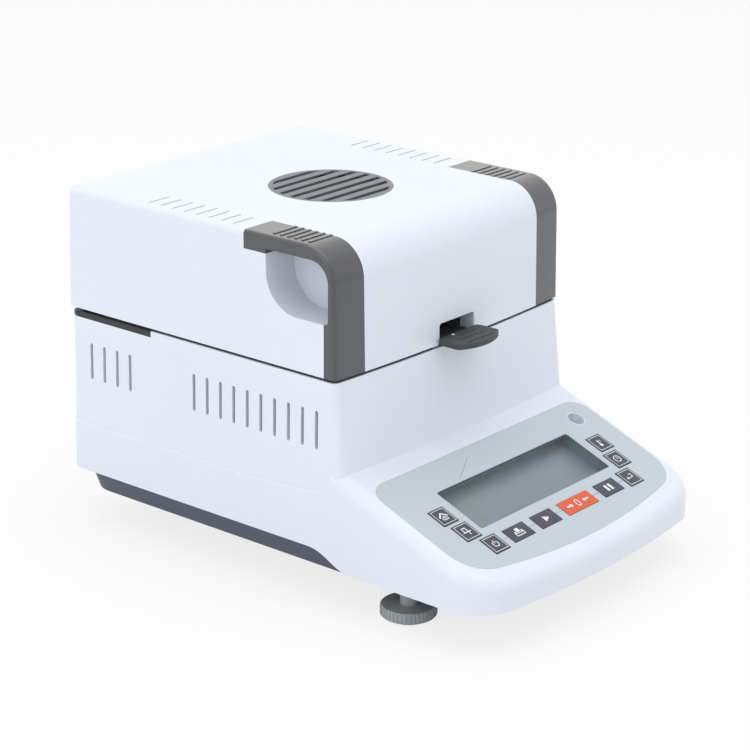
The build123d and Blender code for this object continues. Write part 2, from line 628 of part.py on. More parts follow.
def make_pan_handler():
    """Ring under the pan's rim with a neck through the lid's notch, and the paddle on its end."""
    ring_top = RIM_Z - FIT_GAP
    ring_z = ring_top - HANDLER_RING_THICKNESS
    ring = post(0, CHAMBER_Y, HANDLER_RING_R, ring_z, ring_top)
    ring_y = CHAMBER_Y - (PAN_BOWL_R + HANDLER_RING_R) / 2
    ramp_y = CHAMBER_Y - CHAMBER_R + 4 * FIT_GAP
    paddle_root = HOUSING_FOREMOST_Y - PADDLE_ROOT_OUT
    neck_top = NECK_Z + HANDLER_THICKNESS
    ramp_foot = CHAMBER_Y - HANDLER_RING_R - HANDLER_RING_THICKNESS
    side = Polyline((ring_y, ring_z), (ramp_foot, ring_z), (ramp_y, NECK_Z), (paddle_root - PADDLE_STEP, NECK_Z),
                    (paddle_root - PADDLE_STEP, neck_top), (ramp_y + HANDLER_RING_THICKNESS, neck_top),
                    (ramp_foot + HANDLER_RING_THICKNESS, ring_top), (ring_y, ring_top), close=True)
    handler = ring + across(make_face(side), HANDLER_NECK_WIDTH / 2)
    handler -= post(0, CHAMBER_Y, PAN_BOWL_R + 4 * FIT_GAP, 0, REACH)
    paddle = bowed_face(PADDLE_HALF_WIDTH, paddle_root - PADDLE_LENGTH, paddle_root, PADDLE_BOW)
    paddle = fillet(paddle.vertices(), PADDLE_CORNER_R)
    paddle = extrude(Pos(0, 0, NECK_Z + PADDLE_STEP) * paddle, amount=HANDLER_THICKNESS)
    return [handler.solid(), (paddle - handler).solid()]


def make_panel_film():
    """Grey film let into the panel, cut out for the display, the keys and the level."""
    film = extrude(DECK * film_face(0.0), amount=-FILM_THICKNESS)
    film -= deck_box(0, LCD_S, LCD_WIDTH, LCD_LENGTH, WALL, 2 * WALL, LCD_CORNER_R)
    for x, s, width, length in KEYS.values():
        film -= deck_box(x, s, width + 2 * KEY_CLEARANCE, length + 2 * KEY_CLEARANCE, WALL, 2 * WALL)
    return film - DECK * Pos(LEVEL_X, -LEVEL_S, 0) * Cylinder(LEVEL_RADIUS + LEVEL_WALL + SHAFT_GAP, 4 * WALL)


def make_key(x, s, width, length):
    """Key cap with a flange that holds it under the panel."""
    cap = deck_box(x, s, width, length, KEY_PROUD, KEY_PROUD + WALL + FIT_GAP + KEY_FLANGE_THICKNESS)
    flange = deck_box(x, s, width + 2 * KEY_FLANGE, length + 2 * KEY_FLANGE, -WALL - FIT_GAP, KEY_FLANGE_THICKNESS)
    return cap + flange


def make_key_board():
    """Circuit board under the keys, cut round the display."""
    half = BOARD_POST_X + BOARD_POST_R + BOARD_MARGIN
    rear_s = FIRST_ROW_S - SMALL_KEY_LENGTH / 2 - BOARD_MARGIN
    front_s = THIRD_ROW_S + SMALL_KEY_LENGTH / 2 + BOARD_MARGIN
    board = deck_box(0, (rear_s + front_s) / 2, 2 * half, front_s - rear_s, -KEY_BOARD_DEPTH, BOARD_THICKNESS)
    gap = 2 * (LCD_BODY_MARGIN + FIT_GAP)
    cut = deck_box(0, LCD_S, LCD_WIDTH + gap, LCD_LENGTH + gap, 0, 4 * KEY_BOARD_DEPTH)
    return board - cut


def make_lcd_module():
    """Display module: a plate that fills the opening on a body under the panel."""
    width = LCD_WIDTH + 2 * LCD_LIP - 2 * SHAFT_GAP
    length = LCD_LENGTH + 2 * LCD_LIP - 2 * SHAFT_GAP
    top = -FILM_THICKNESS - LCD_GLASS_THICKNESS
    module = deck_box(0, LCD_S, width, length, top, WALL + top + LCD_GLASS_THICKNESS)
    return module + deck_box(0, LCD_S, LCD_WIDTH + 2 * LCD_BODY_MARGIN, LCD_LENGTH + 2 * LCD_BODY_MARGIN,
                             -WALL, LCD_BODY_DEPTH)


def make_lcd_window():
    """Clear window over the display, under the film's edge."""
    width = LCD_WIDTH + 2 * LCD_LIP - 2 * SHAFT_GAP
    length = LCD_LENGTH + 2 * LCD_LIP - 2 * SHAFT_GAP
    return deck_box(0, LCD_S, width, length, -FILM_THICKNESS, LCD_GLASS_THICKNESS)


def make_level_cup():
    """Cup of the round spirit level, let into the panel."""
    cup = DECK * Pos(LEVEL_X, -LEVEL_S, -LEVEL_DEPTH / 2) * Cylinder(LEVEL_RADIUS + LEVEL_WALL, LEVEL_DEPTH)
    return cup - DECK * Pos(LEVEL_X, -LEVEL_S, LEVEL_WALL) * Cylinder(LEVEL_RADIUS, 2 * LEVEL_DEPTH - 2 * LEVEL_WALL)


def make_level_vial():
    """Glass vial that stands in the level's cup."""
    height = LEVEL_DEPTH - 2 * LEVEL_WALL
    centre = -LEVEL_DEPTH + 2 * LEVEL_WALL + height / 2
    return DECK * Pos(LEVEL_X, -LEVEL_S, centre) * Cylinder(LEVEL_RADIUS - SHAFT_GAP, height)


def lid_block(inset):
    """The filled lid, drawn in by inset: bowed front, rounded nose and leaning ends."""
    half = LID_WIDTH / 2 - inset
    front = LID_FRONT_Y - LID_FRONT_BOW + inset
    rear = LID_REAR_Y - inset
    top_z = LID_TOP_Z - inset
    share = (top_z - LID_Z) / LID_HEIGHT
    foot = Pos(0, 0, LID_Z) * bowed_face(half, front, rear, LID_FRONT_BOW)
    top = bowed_face(half, front + share * LID_FRONT_LEAN, rear - share * LID_REAR_LEAN, LID_FRONT_BOW)
    block = loft([foot, Pos(0, 0, top_z) * top])
    rim = block.faces().sort_by(Axis.Z)[-1].edges().sort_by(Axis.Y)
    block = fillet(rim[0], LID_NOSE_R - inset)
    rim = block.faces().sort_by(Axis.Z)[-1].edges().sort_by(Axis.Y)
    return fillet(rim[-1], LID_EDGE_R - inset)


def lid_outer(edge_r):
    """The filled lid with the long edges round both sides softened."""
    block = lid_block(0.0)
    edges = []
    for face in (block.faces().sort_by(Axis.X)[0], block.faces().sort_by(Axis.X)[-1]):
        edges += [edge for edge in face.edges() if edge.center().Z > LID_Z + WALL]
    return fillet(edges, edge_r)


def handle_face(grow):
    """Side outline of a handle: top strip, front strip, and deeper ends. grow makes room behind it."""
    out_y = LID_FRONT_Y - 3 * LID_FRONT_BOW
    lower_y = LID_FRONT_Y + HANDLE_LOWER_STRIP + grow
    rear_y = LID_FRONT_Y + HANDLE_REAR + grow
    block_z = LID_TOP_Z - HANDLE_BLOCK - grow
    top_z = LID_TOP_Z + 3 * WALL
    pocket_z = LID_Z + POCKET_BOTTOM - grow
    if grow:
        pocket_rear = LID_FRONT_Y + POCKET_REAR + grow
        face = make_face(Polyline((out_y, LID_Z - WALL), (lower_y, LID_Z - WALL), (lower_y, pocket_z),
                                  (pocket_rear, pocket_z), (pocket_rear, block_z), (rear_y, block_z),
                                  (rear_y, top_z), (out_y, top_z), close=True))
        return fillet(nearest(face, pocket_rear, pocket_z), POCKET_CORNER_R + grow)
    strip_y = LID_FRONT_Y + HANDLE_FRONT_STRIP
    strip_z = LID_TOP_Z - HANDLE_STRIP
    pocket_rear = LID_FRONT_Y + POCKET_REAR
    face = make_face(Polyline((out_y, LID_Z), (lower_y, LID_Z), (lower_y, pocket_z), (strip_y, pocket_z),
                              (strip_y, strip_z), (pocket_rear, strip_z), (pocket_rear, block_z), (rear_y, block_z),
                              (rear_y, top_z), (out_y, top_z), close=True))
    return fillet(nearest(face, strip_y, strip_z), HANDLE_CORNER_R)


def nearest(face, x, y):
    """The corner of a flat outline nearest to a point."""
    return min(face.vertices(), key=lambda vertex: (vertex.X - x) ** 2 + (vertex.Y - y) ** 2)


def pocket_face():
    """Side outline of the finger pocket under the handle."""
    front = LID_FRONT_Y + HANDLE_FRONT_STRIP
    rear = LID_FRONT_Y + POCKET_REAR
    bottom = LID_Z + POCKET_BOTTOM
    top = LID_TOP_Z - HANDLE_STRIP
    face = make_face(Polyline((front, bottom), (rear, bottom), (rear, top), (front, top), close=True))
    face = fillet(nearest(face, rear, bottom), POCKET_CORNER_R)
    return fillet(nearest(face, front, top), HANDLE_CORNER_R)


def side_band(outline, inner_x, side):
    """A side outline drawn outwards from inner_x on one side."""
    band = extrude(Plane.YZ * outline, amount=side * REACH)
    return Pos(side * inner_x, 0, 0) * band


def notch_block(grow, depth):
    """Space of the handler notch in the lid's front, with a flared foot, grown by a lining."""
    half = NOTCH_WIDTH / 2
    height = NOTCH_HEIGHT + WALL
    face = Pos(0, LID_Z - WALL + height / 2) * Rectangle(2 * half, height)
    face = fillet(face.vertices().group_by(Axis.Y)[-1], NOTCH_TOP_R)
    for side in (-1, 1):
        x = side * (half + NOTCH_FOOT_R / 2)
        corner = Pos(x, LID_Z + NOTCH_FOOT_R / 2) * Rectangle(NOTCH_FOOT_R, NOTCH_FOOT_R)
        face += corner - Pos(side * (half + NOTCH_FOOT_R), LID_Z + NOTCH_FOOT_R) * Circle(NOTCH_FOOT_R)
    if grow:
        face = Pos(0, LID_Z + (NOTCH_HEIGHT + grow) / 2) * Rectangle(2 * (half + grow), NOTCH_HEIGHT + grow)
    block = extrude(Plane.XZ * face, amount=REACH, both=True)
    return block & span_box(-REACH, REACH, -REACH, LID_FRONT_Y - LID_FRONT_BOW + depth, 0, REACH)


def make_lid_shell():
    """White lid: thin shell with finger pockets, vents, the grille seat and the handler notch."""
    shell = lid_outer(LID_EDGE_R)
    cavity = lid_block(WALL) - notch_block(NOTCH_LINING, NOTCH_DEPTH)
    for side in (-1, 1):
        cavity -= side_band(handle_face(WALL), HANDLE_INNER_X - WALL, side)
        shell -= side_band(handle_face(0.0), HANDLE_INNER_X, side)
        shell -= side_band(pocket_face(), HANDLE_INNER_X, side)
    for x, y in LID_POINTS:
        cavity -= post(x, y, SCREW_POST_R, PLATE_TOP_Z, LID_TOP_Z)
    shell -= cavity
    for x, y in LID_POINTS:
        shell -= post(x, y, SCREW_R + SHAFT_GAP, PLATE_TOP_Z, PLATE_TOP_Z + SCREW_LENGTH)
    shell -= post(0, CHAMBER_Y, GRILLE_R + SHAFT_GAP, LID_TOP_Z - GRILLE_THICKNESS, REACH)
    shell -= post(0, CHAMBER_Y, GRILLE_R - GRILLE_LEDGE, LID_TOP_Z - 2 * WALL, REACH)
    shell -= notch_block(0.0, 2 * NOTCH_DEPTH)
    for side in (-1, 1):
        for index in range(TOP_VENT_COUNT):
            y = LID_FRONT_Y + TOP_VENT_FIRST + index * TOP_VENT_PITCH
            shell -= Pos(side * TOP_VENT_X, y, LID_TOP_Z) * Box(TOP_VENT_LENGTH, TOP_VENT_WIDTH, 4 * WALL)
        reach = HINGE_BARREL_LENGTH / 2 + 2 * FIT_GAP + HINGE_ARM_BARREL + FIT_GAP
        x = side * HINGE_X
        shell -= span_box(x - reach, x + reach, LID_REAR_Y - 2 * WALL, REACH, 0, LID_Z + HINGE_NOTCH_HEIGHT)
    return shell


def make_handle(side):
    """Dark grip let into a top edge of the lid, with ribs across its top strip."""
    handle = lid_outer(HANDLE_EDGE_R) & side_band(handle_face(0.0), HANDLE_INNER_X, side)
    near, far = sorted((side * HANDLE_INNER_X, side * (LID_WIDTH / 2 - RIB_OUTER_GAP)))
    for index in range(RIB_COUNT):
        y = LID_FRONT_Y + RIB_FIRST + index * RIB_PITCH
        handle += span_box(near, far, y - RIB_WIDTH / 2, y + RIB_WIDTH / 2,
                           LID_TOP_Z - RIB_HEIGHT, LID_TOP_Z + RIB_HEIGHT)
    return handle


def make_vent_grille():
    """Round grille with parallel slots, flush with the lid's top."""
    grille = post(0, CHAMBER_Y, GRILLE_R, LID_TOP_Z - GRILLE_THICKNESS, LID_TOP_Z)
    clear = post(0, CHAMBER_Y, GRILLE_R - GRILLE_LEDGE, LID_TOP_Z - 2 * WALL, LID_TOP_Z + WALL)
    for index in range(GRILLE_SLOT_COUNT):
        y = CHAMBER_Y + (index - (GRILLE_SLOT_COUNT - 1) / 2) * GRILLE_SLOT_PITCH
        grille -= clear & (Pos(0, y, LID_TOP_Z) * Box(4 * GRILLE_R, GRILLE_SLOT_WIDTH, 6 * WALL))
    return grille - post(0, CHAMBER_Y, GRILLE_R - GRILLE_LEDGE, LID_TOP_Z - 2 * WALL, LID_TOP_Z - GRILLE_FIELD)


def make_inner_plate():
    """Plate inside the lid that carries the heating unit and the hinge arms."""
    inset = WALL + FIT_GAP
    rear = LID_REAR_Y - LID_PLATE_REAR_GAP
    front = LID_FRONT_Y - LID_FRONT_BOW + LID_FRONT_LEAN + inset
    plan = bowed_face(LID_WIDTH / 2 - inset, front, rear, LID_FRONT_BOW)
    plate = extrude(Pos(0, 0, PLATE_Z) * plan, amount=LID_PLATE_THICKNESS)
    for side in (-1, 1):
        plate -= side_band(handle_face(WALL + FIT_GAP), HANDLE_INNER_X - WALL - FIT_GAP, side)
    plate -= post(0, CHAMBER_Y, GLASS_R - GLASS_THICKNESS, 0, REACH)
    plate -= post(0, PROBE_Y, PROBE_R + SHAFT_GAP, 0, REACH)
    for x, y in LID_POINTS:
        plate -= post(x, y, SCREW_R + SHAFT_GAP, 0, REACH)
    return plate


def ring_of_turn(points):
    """A turned ring from its half section, given as radius and height from the plate's top."""
    outline = make_face(Polyline(*points, close=True))
    turned = revolve(Plane.XZ * outline, Axis.Z, 360)
    return Pos(0, CHAMBER_Y, PLATE_TOP_Z) * turned


def make_reflector():
    """Steel reflector over the lamp, with a flange on the plate and a vent hole on top."""
    sheet = REFLECTOR_SHEET
    return ring_of_turn([
        (REFLECTOR_R - LINER_FLANGE + 2 * sheet, 0), (REFLECTOR_R + sheet, 0), (REFLECTOR_R + sheet, sheet),
        (REFLECTOR_R - LINER_FLANGE + 3 * sheet, sheet), (REFLECTOR_TOP_R + sheet, REFLECTOR_HEIGHT),
        (REFLECTOR_VENT_R, REFLECTOR_HEIGHT), (REFLECTOR_VENT_R, REFLECTOR_HEIGHT - sheet),
        (REFLECTOR_TOP_R, REFLECTOR_HEIGHT - sheet),
    ])


def make_lamp():
    """Ring-shaped halogen lamp."""
    return Pos(0, CHAMBER_Y, PLATE_TOP_Z + LAMP_Z) * Torus(LAMP_RING_R, LAMP_TUBE_R)


def make_lamp_holders():
    """Three ceramic saddles that hold the lamp under the reflector's top."""
    holders = []
    top = PLATE_TOP_Z + REFLECTOR_HEIGHT - REFLECTOR_SHEET
    bottom = PLATE_TOP_Z + LAMP_Z
    height = top - bottom
    for turn in LAMP_HOLDER_TURNS:
        block = Pos(LAMP_RING_R, 0, bottom + height / 2) * Box(LAMP_HOLDER_DEPTH, LAMP_HOLDER_WIDTH, height)
        holders.append(Pos(0, CHAMBER_Y, 0) * (Rot(0, 0, turn) * block) - make_lamp())
    return holders


def make_glass():
    """Clear disc that closes the heating unit from below."""
    return post(0, CHAMBER_Y, GLASS_R, PLATE_Z - GLASS_THICKNESS, PLATE_Z)


def make_glass_retainer():
    """Ring that holds the glass against the inner plate."""
    outer = GLASS_R + RETAINER_WIDTH
    ring = post(0, CHAMBER_Y, outer, PLATE_Z - GLASS_THICKNESS - RETAINER_THICKNESS, PLATE_Z)
    ring -= post(0, CHAMBER_Y, GLASS_R - GLASS_THICKNESS, 0, REACH)
    return ring - post(0, CHAMBER_Y, GLASS_R + SHAFT_GAP, PLATE_Z - GLASS_THICKNESS, REACH)


def make_probe():
    """Temperature probe that reaches down through the inner plate."""
    probe = post(0, PROBE_Y, PROBE_R, PLATE_TOP_Z - PROBE_LENGTH + LID_PLATE_THICKNESS, PLATE_TOP_Z)
    return probe + post(0, PROBE_Y, 2 * PROBE_R, PLATE_TOP_Z, PLATE_TOP_Z + 2 * PROBE_R)


def make_screws(points, seat_z):
    """Round-headed screws from below, with their heads against seat_z."""
    screws = []
    for x, y in points:
        shank = post(x, y, SCREW_R, seat_z, seat_z + SCREW_LENGTH)
        head = post(x, y, SCREW_HEAD_R, seat_z - SCREW_HEAD_THICKNESS, seat_z)
        screws.append(shank + fillet(head.edges().sort_by(Axis.Z)[0], SCREW_HEAD_THICKNESS / 2))
    return screws


def tray_section(z, inset):
    """The tray's plan at height z: it leans outwards to its rim."""
    lean = TRAY_LEAN * (TRAY_TOP_Z - z) / TRAY_HEIGHT + inset
    gap = WALL + TRAY_TOP_SIDE_GAP + lean
    plan = bowed_face(HALF_WIDTH - gap, FRONT_Y + gap, REAR_Y - gap, BASE_FRONT_BOW)
    plan = fillet(plan.vertices().group_by(Axis.Y)[0], BASE_FRONT_CORNER_R - inset)
    plan = fillet(plan.vertices().group_by(Axis.Y)[-1], TRAY_CORNER_R - inset)
    return Pos(0, 0, z) * plan


def make_bottom_tray():
    """Dark tray that closes the base from below and carries the feet and the electrics."""
    tray = loft([tray_section(TRAY_BOTTOM_Z, 0), tray_section(TRAY_TOP_Z, 0)])
    tray -= loft([tray_section(TRAY_FLOOR_Z, WALL), tray_section(TRAY_TOP_Z, WALL)])
    tray &= base_block(WALL + FIT_GAP)
    for side in (-1, 1):
        tray += post(side * FOOT_X, FOOT_Y, BUSH_R + WALL, TRAY_BOTTOM_Z, TRAY_BOTTOM_Z + BUSH_LENGTH)
        tray -= post(side * FOOT_X, FOOT_Y, BUSH_R, 0, REACH)
    for x, y in FRONT_POINTS + HOUSING_POINTS:
        tray -= post(x, y, SCREW_R + SHAFT_GAP, 0, REACH)
    for x in (-1, 1):
        for y in (-1, 1):
            tray += post(MAIN_BOARD_X + x * (MAIN_BOARD_SIZE[0] / 2 - SCREW_POST_R),
                         MAIN_BOARD_Y + y * (MAIN_BOARD_SIZE[1] / 2 - SCREW_POST_R),
                         SCREW_HEAD_R, TRAY_FLOOR_Z - WALL / 2, TRAY_FLOOR_Z + BOARD_LIFT)
    return tray


def make_foot_bushes():
    """Two threaded brass bushes in the tray for the levelling feet."""
    bushes = []
    for side in (-1, 1):
        bush = post(side * FOOT_X, FOOT_Y, BUSH_R, TRAY_BOTTOM_Z, TRAY_BOTTOM_Z + BUSH_LENGTH)
        bushes.append(bush - post(side * FOOT_X, FOOT_Y, STUD_R + SHAFT_GAP, 0, REACH))
    return bushes


def make_foot_wheel(side):
    """Knurled levelling wheel, with the hole of the pad's pin in its underside."""
    x = side * FOOT_X
    wheel = post(x, FOOT_Y, WHEEL_R, WHEEL_BOTTOM_Z, WHEEL_TOP_Z)
    wheel = chamfer(wheel.edges().filter_by(GeomType.CIRCLE), WHEEL_GROOVE_R)
    cutter = Pos(WHEEL_R, 0, WHEEL_HEIGHT) * Cylinder(WHEEL_GROOVE_R, 2 * WHEEL_HEIGHT)
    grooves = []
    for index in range(WHEEL_GROOVES):
        grooves.append(Pos(x, FOOT_Y, 0) * Rot(0, 0, index * 360 / WHEEL_GROOVES) * cutter)
    wheel -= grooves
    return wheel - post(x, FOOT_Y, PAD_PIN_R + SHAFT_GAP, 0, WHEEL_BOTTOM_Z + PAD_PIN_LENGTH)


def make_foot_stud(side):
    """Stud of a levelling foot, with the hub that stops it under the tray."""
    x = side * FOOT_X
    hub = post(x, FOOT_Y, WHEEL_HUB_R, WHEEL_TOP_Z, HUB_TOP_Z)
    return hub + post(x, FOOT_Y, STUD_R, WHEEL_TOP_Z, WHEEL_TOP_Z + STUD_LENGTH)


def make_foot_pad(side):
    """Rubber pad that stays still on the table while the wheel turns on its pin."""
    pad = post(side * FOOT_X, FOOT_Y, PAD_R, 0, PAD_THICKNESS)
    return pad + post(side * FOOT_X, FOOT_Y, PAD_PIN_R, 0, WHEEL_BOTTOM_Z + PAD_PIN_LENGTH - FIT_GAP)


def make_rear_feet():
    """Two fixed rubber feet under the rear of the tray."""
    return [post(side * REAR_FOOT_X, REAR_FOOT_Y, REAR_FOOT_R, 0, TRAY_BOTTOM_Z) for side in (-1, 1)]


def make_load_cell():
    """Bending-beam load cell with its pair of joined holes, fixed at the rear end."""
    front = CHAMBER_Y - CELL_WIDTH / 2
    middle = front + CELL_LENGTH / 2
    centre_z = CELL_Z + CELL_HEIGHT / 2
    hole_r = CELL_HEIGHT / 3
    cell = span_box(-CELL_WIDTH / 2, CELL_WIDTH / 2, front, front + CELL_LENGTH, CELL_Z, CELL_Z + CELL_HEIGHT)
    for y in (middle - hole_r, middle + hole_r):
        cell -= cross_rod(-CELL_WIDTH, CELL_WIDTH, y, centre_z, hole_r)
    return cell - Pos(0, middle, centre_z) * Box(2 * CELL_WIDTH, 2 * hole_r, hole_r)


def make_cell_mount():
    """Block that holds the fixed end of the load cell on the tray."""
    rear = CHAMBER_Y - CELL_WIDTH / 2 + CELL_LENGTH
    half = CELL_WIDTH / 2
    return span_box(-half, half, rear - CELL_WIDTH, rear, TRAY_FLOOR_Z, CELL_Z)


def make_main_board():
    """Main circuit board on its posts, with its larger components."""
    width, length = MAIN_BOARD_SIZE
    z = TRAY_FLOOR_Z + BOARD_LIFT
    board = Pos(MAIN_BOARD_X, MAIN_BOARD_Y, z + BOARD_THICKNESS / 2) * Box(width, length, BOARD_THICKNESS)
    for x, y, size, height in MAIN_BOARD_PARTS:
        board += Pos(MAIN_BOARD_X + x * width, MAIN_BOARD_Y + y * length, z + height / 2) * Box(
            size * width, size * length, height + BOARD_THICKNESS)
    return board


def make_power_supply():
    """Closed power supply on the tray."""
    width, length, height = SUPPLY_SIZE
    case = Pos(SUPPLY_X, SUPPLY_Y, TRAY_FLOOR_Z + height / 2) * Box(width, length, height)
    return chamfer(case.edges().filter_by(Axis.Z), WALL)


def make_mains_inlet():
    """Mains inlet: a block behind the rear wall with a socket and three pins."""
    face = REAR_Y - FIT_GAP
    inside = REAR_Y - WALL
    half_w = INLET_WIDTH / 2 - FIT_GAP
    half_h = INLET_HEIGHT / 2 - FIT_GAP
    x, z = INLET_X, REAR_PANEL_Z
    block = span_box(x - half_w, x + half_w, face - INLET_DEPTH, face, z - half_h, z + half_h)
    block += span_box(x - half_w - INLET_FLANGE, x + half_w + INLET_FLANGE, inside - INLET_FLANGE, inside,
                      z - half_h - FLANGE_OVERHANG, z + half_h + FLANGE_OVERHANG)
    block -= span_box(x - half_w + INLET_FLANGE, x + half_w - INLET_FLANGE, face - INLET_SOCKET_DEPTH, REACH,
                      z - half_h + INLET_SOCKET_WALL, z + half_h - INLET_SOCKET_WALL)
    pin = Box(INLET_PIN_WIDTH, INLET_SOCKET_DEPTH - WALL, INLET_PIN_HEIGHT)
    for dx, dz in INLET_PIN_PLACES:
        block += Pos(x + dx, face - INLET_SOCKET_DEPTH / 2 - WALL, z + dz) * pin
    return block


def make_switch_frame():
    """Frame of the rear power switch."""
    face = REAR_Y - FIT_GAP
    half_w = SWITCH_WIDTH / 2 - FIT_GAP
    half_h = SWITCH_HEIGHT / 2 - FIT_GAP
    x, z = SWITCH_X, REAR_PANEL_Z
    frame = span_box(x - half_w, x + half_w, face - SWITCH_DEPTH, face, z - half_h, z + half_h)
    frame += span_box(x - half_w - INLET_FLANGE, x + half_w + INLET_FLANGE, REAR_Y - WALL - INLET_FLANGE,
                      REAR_Y - WALL, z - half_h - FLANGE_OVERHANG, z + half_h + FLANGE_OVERHANG)
    frame -= span_box(x - half_w + WALL, x + half_w - WALL, face - SWITCH_DEPTH + WALL, REACH,
                      z - half_h + SWITCH_WALL, z + half_h - SWITCH_WALL)
    reach = half_w - SWITCH_WALL
    return frame - cross_rod(x - reach, x + reach, ROCKER_Y, z, ROCKER_AXLE_R + SHAFT_GAP)


def make_switch_rocker():
    """Rocker of the power switch on its stub axles, tilted to its off side."""
    half_w = SWITCH_WIDTH / 2 - WALL - 2 * FIT_GAP
    half_h = SWITCH_HEIGHT / 2 - FIT_GAP - SWITCH_WALL - ROCKER_PLAY
    depth = REAR_Y - 3 * FIT_GAP - half_h * sin(radians(SWITCH_TILT)) - ROCKER_Y
    outline = make_face(Polyline((-depth / 2, -half_h), (depth, -half_h), (depth - ROCKER_DISH, 0), (depth, half_h),
                                 (-depth / 2, half_h), close=True))
    rocker = across(Rot(0, 0, -SWITCH_TILT) * outline, half_w)
    reach = SWITCH_WIDTH / 2 - 2 * FIT_GAP - SWITCH_WALL
    rocker += cross_rod(-reach, reach, 0, 0, ROCKER_AXLE_R)
    return Pos(SWITCH_X, ROCKER_Y, REAR_PANEL_Z) * rocker


def make_serial_port():
    """Serial port with its raised D-shaped shell."""
    face = REAR_Y - FIT_GAP
    half_w = PORT_WIDTH / 2 - FIT_GAP
    half_h = PORT_HEIGHT / 2 - FIT_GAP
    x, z = PORT_X, REAR_PANEL_Z
    back = face - PORT_SHELL_DEPTH
    port = span_box(x - half_w, x + half_w, face - 4 * WALL, back, z - half_h, z + half_h)
    port += span_box(x - half_w - INLET_FLANGE, x + half_w + INLET_FLANGE, REAR_Y - WALL - INLET_FLANGE,
                     REAR_Y - WALL, z - half_h - FLANGE_OVERHANG, z + half_h + FLANGE_OVERHANG)
    corners = [(-PORT_SHELL_TOP, PORT_SHELL_SIDE), (PORT_SHELL_TOP, PORT_SHELL_SIDE),
               (PORT_SHELL_BOTTOM, -PORT_SHELL_SIDE), (-PORT_SHELL_BOTTOM, -PORT_SHELL_SIDE)]
    shell = make_face(Polyline(*corners, close=True))
    shell = fillet(shell.vertices(), PORT_SHELL_R)
    plane = Plane(origin=(x, back, z), x_dir=(1, 0, 0), z_dir=(0, 1, 0))
    return port + extrude(plane * shell, amount=PORT_SHELL_DEPTH)


def make_bumpers():
    """Two rubber buffers under the front ends of the handles."""
    return [post(side * BUMPER_X, BUMPER_Y, BUMPER_R, HOUSING_TOP_Z, LID_Z - FIT_GAP) for side in (-1, 1)]


def build_nodes():
    """Every piece of the instrument by its node name."""
    nodes = {
        "base_housing": make_base_housing(),
        "chamber_housing": make_chamber_housing(),
        "chamber_deck": make_chamber_deck(),
        "lid_seal": make_lid_seal(),
        "bottom_tray": make_bottom_tray(),
        "hinge_plate": make_hinge_plate(),
        "hinge_brackets": make_hinge_brackets(),
        "hinge_pins": make_hinge_pins(),
        "chamber_liner": make_chamber_liner(),
        "wind_ring": make_wind_ring(),
        "pan_support": make_pan_support(),
        "load_cell": make_load_cell(),
        "load_cell_mount": make_cell_mount(),
        "main_board": make_main_board(),
        "power_supply": make_power_supply(),
        "key_board": make_key_board(),
        "lcd_module": make_lcd_module(),
        "lcd_window": make_lcd_window(),
        "panel_film": make_panel_film(),
        "level_cup": make_level_cup(),
        "level_vial": make_level_vial(),
        "mains_inlet": make_mains_inlet(),
        "switch_frame": make_switch_frame(),
        "switch_rocker": make_switch_rocker(),
        "serial_port": make_serial_port(),
        "foot_bushes": make_foot_bushes(),
        "rear_feet": make_rear_feet(),
        "lid_bumpers": make_bumpers(),
        "housing_screws": make_screws(FRONT_POINTS + HOUSING_POINTS, TRAY_BOTTOM_Z),
        "lid_shell": make_lid_shell(),
        "vent_grille": make_vent_grille(),
        "left_handle": make_handle(-1),
        "right_handle": make_handle(1),
        "inner_plate": make_inner_plate(),
        "reflector": make_reflector(),
        "halogen_lamp": make_lamp(),
        "lamp_holders": make_lamp_holders(),
        "protective_glass": make_glass(),
        "glass_retainer": make_glass_retainer(),
        "temperature_probe": make_probe(),
        "lid_hinge_arms": make_lid_hinge_arms(),
        "lid_screws": make_screws(LID_POINTS, PLATE_Z),
        "pan_handler": make_pan_handler(),
        "sample_pan": make_sample_pan(),
    }
    for name, side in (("left", -1), ("right", 1)):
        nodes[name + "_foot_pad"] = make_foot_pad(side)
        nodes[name + "_foot_wheel"] = make_foot_wheel(side)
        nodes[name + "_foot_stud"] = make_foot_stud(side)
    for name, (x, s, width, length) in KEYS.items():
        nodes[name] = make_key(x, s, width, length)
    return nodes


def as_shape(pieces):
    """One shape for a node: a lone solid, or the group of its separate solids."""
    if isinstance(pieces, list):
        return Compound(children=[solid for piece in pieces for solid in piece.solids()])
    return pieces


if __name__ == "__main__":
    os.makedirs("parts", exist_ok=True)
    for node_name, pieces in build_nodes().items():
        export_step(as_shape(pieces), f"parts/{node_name}.step")
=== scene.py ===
"""Looks of the moisture analyzer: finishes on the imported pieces, the printed key panel and the small trim."""

import logging
import math
from dataclasses import dataclass, field
from enum import Enum
from typing import Callable

import bmesh
import bpy
from bmesh.types import BMesh, BMFace, BMVert
from mathutils import Matrix, Vector


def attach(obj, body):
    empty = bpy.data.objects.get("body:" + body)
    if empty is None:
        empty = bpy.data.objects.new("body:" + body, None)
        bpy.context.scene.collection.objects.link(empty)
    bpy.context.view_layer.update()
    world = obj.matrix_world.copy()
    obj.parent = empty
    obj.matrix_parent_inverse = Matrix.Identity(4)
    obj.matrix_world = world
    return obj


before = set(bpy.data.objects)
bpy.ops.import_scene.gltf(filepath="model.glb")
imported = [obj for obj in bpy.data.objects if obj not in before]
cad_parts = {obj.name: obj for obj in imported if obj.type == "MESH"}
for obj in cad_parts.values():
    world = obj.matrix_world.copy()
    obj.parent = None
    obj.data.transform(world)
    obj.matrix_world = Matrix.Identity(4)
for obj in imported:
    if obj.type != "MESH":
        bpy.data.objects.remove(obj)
log = logging.getLogger("analyzer")

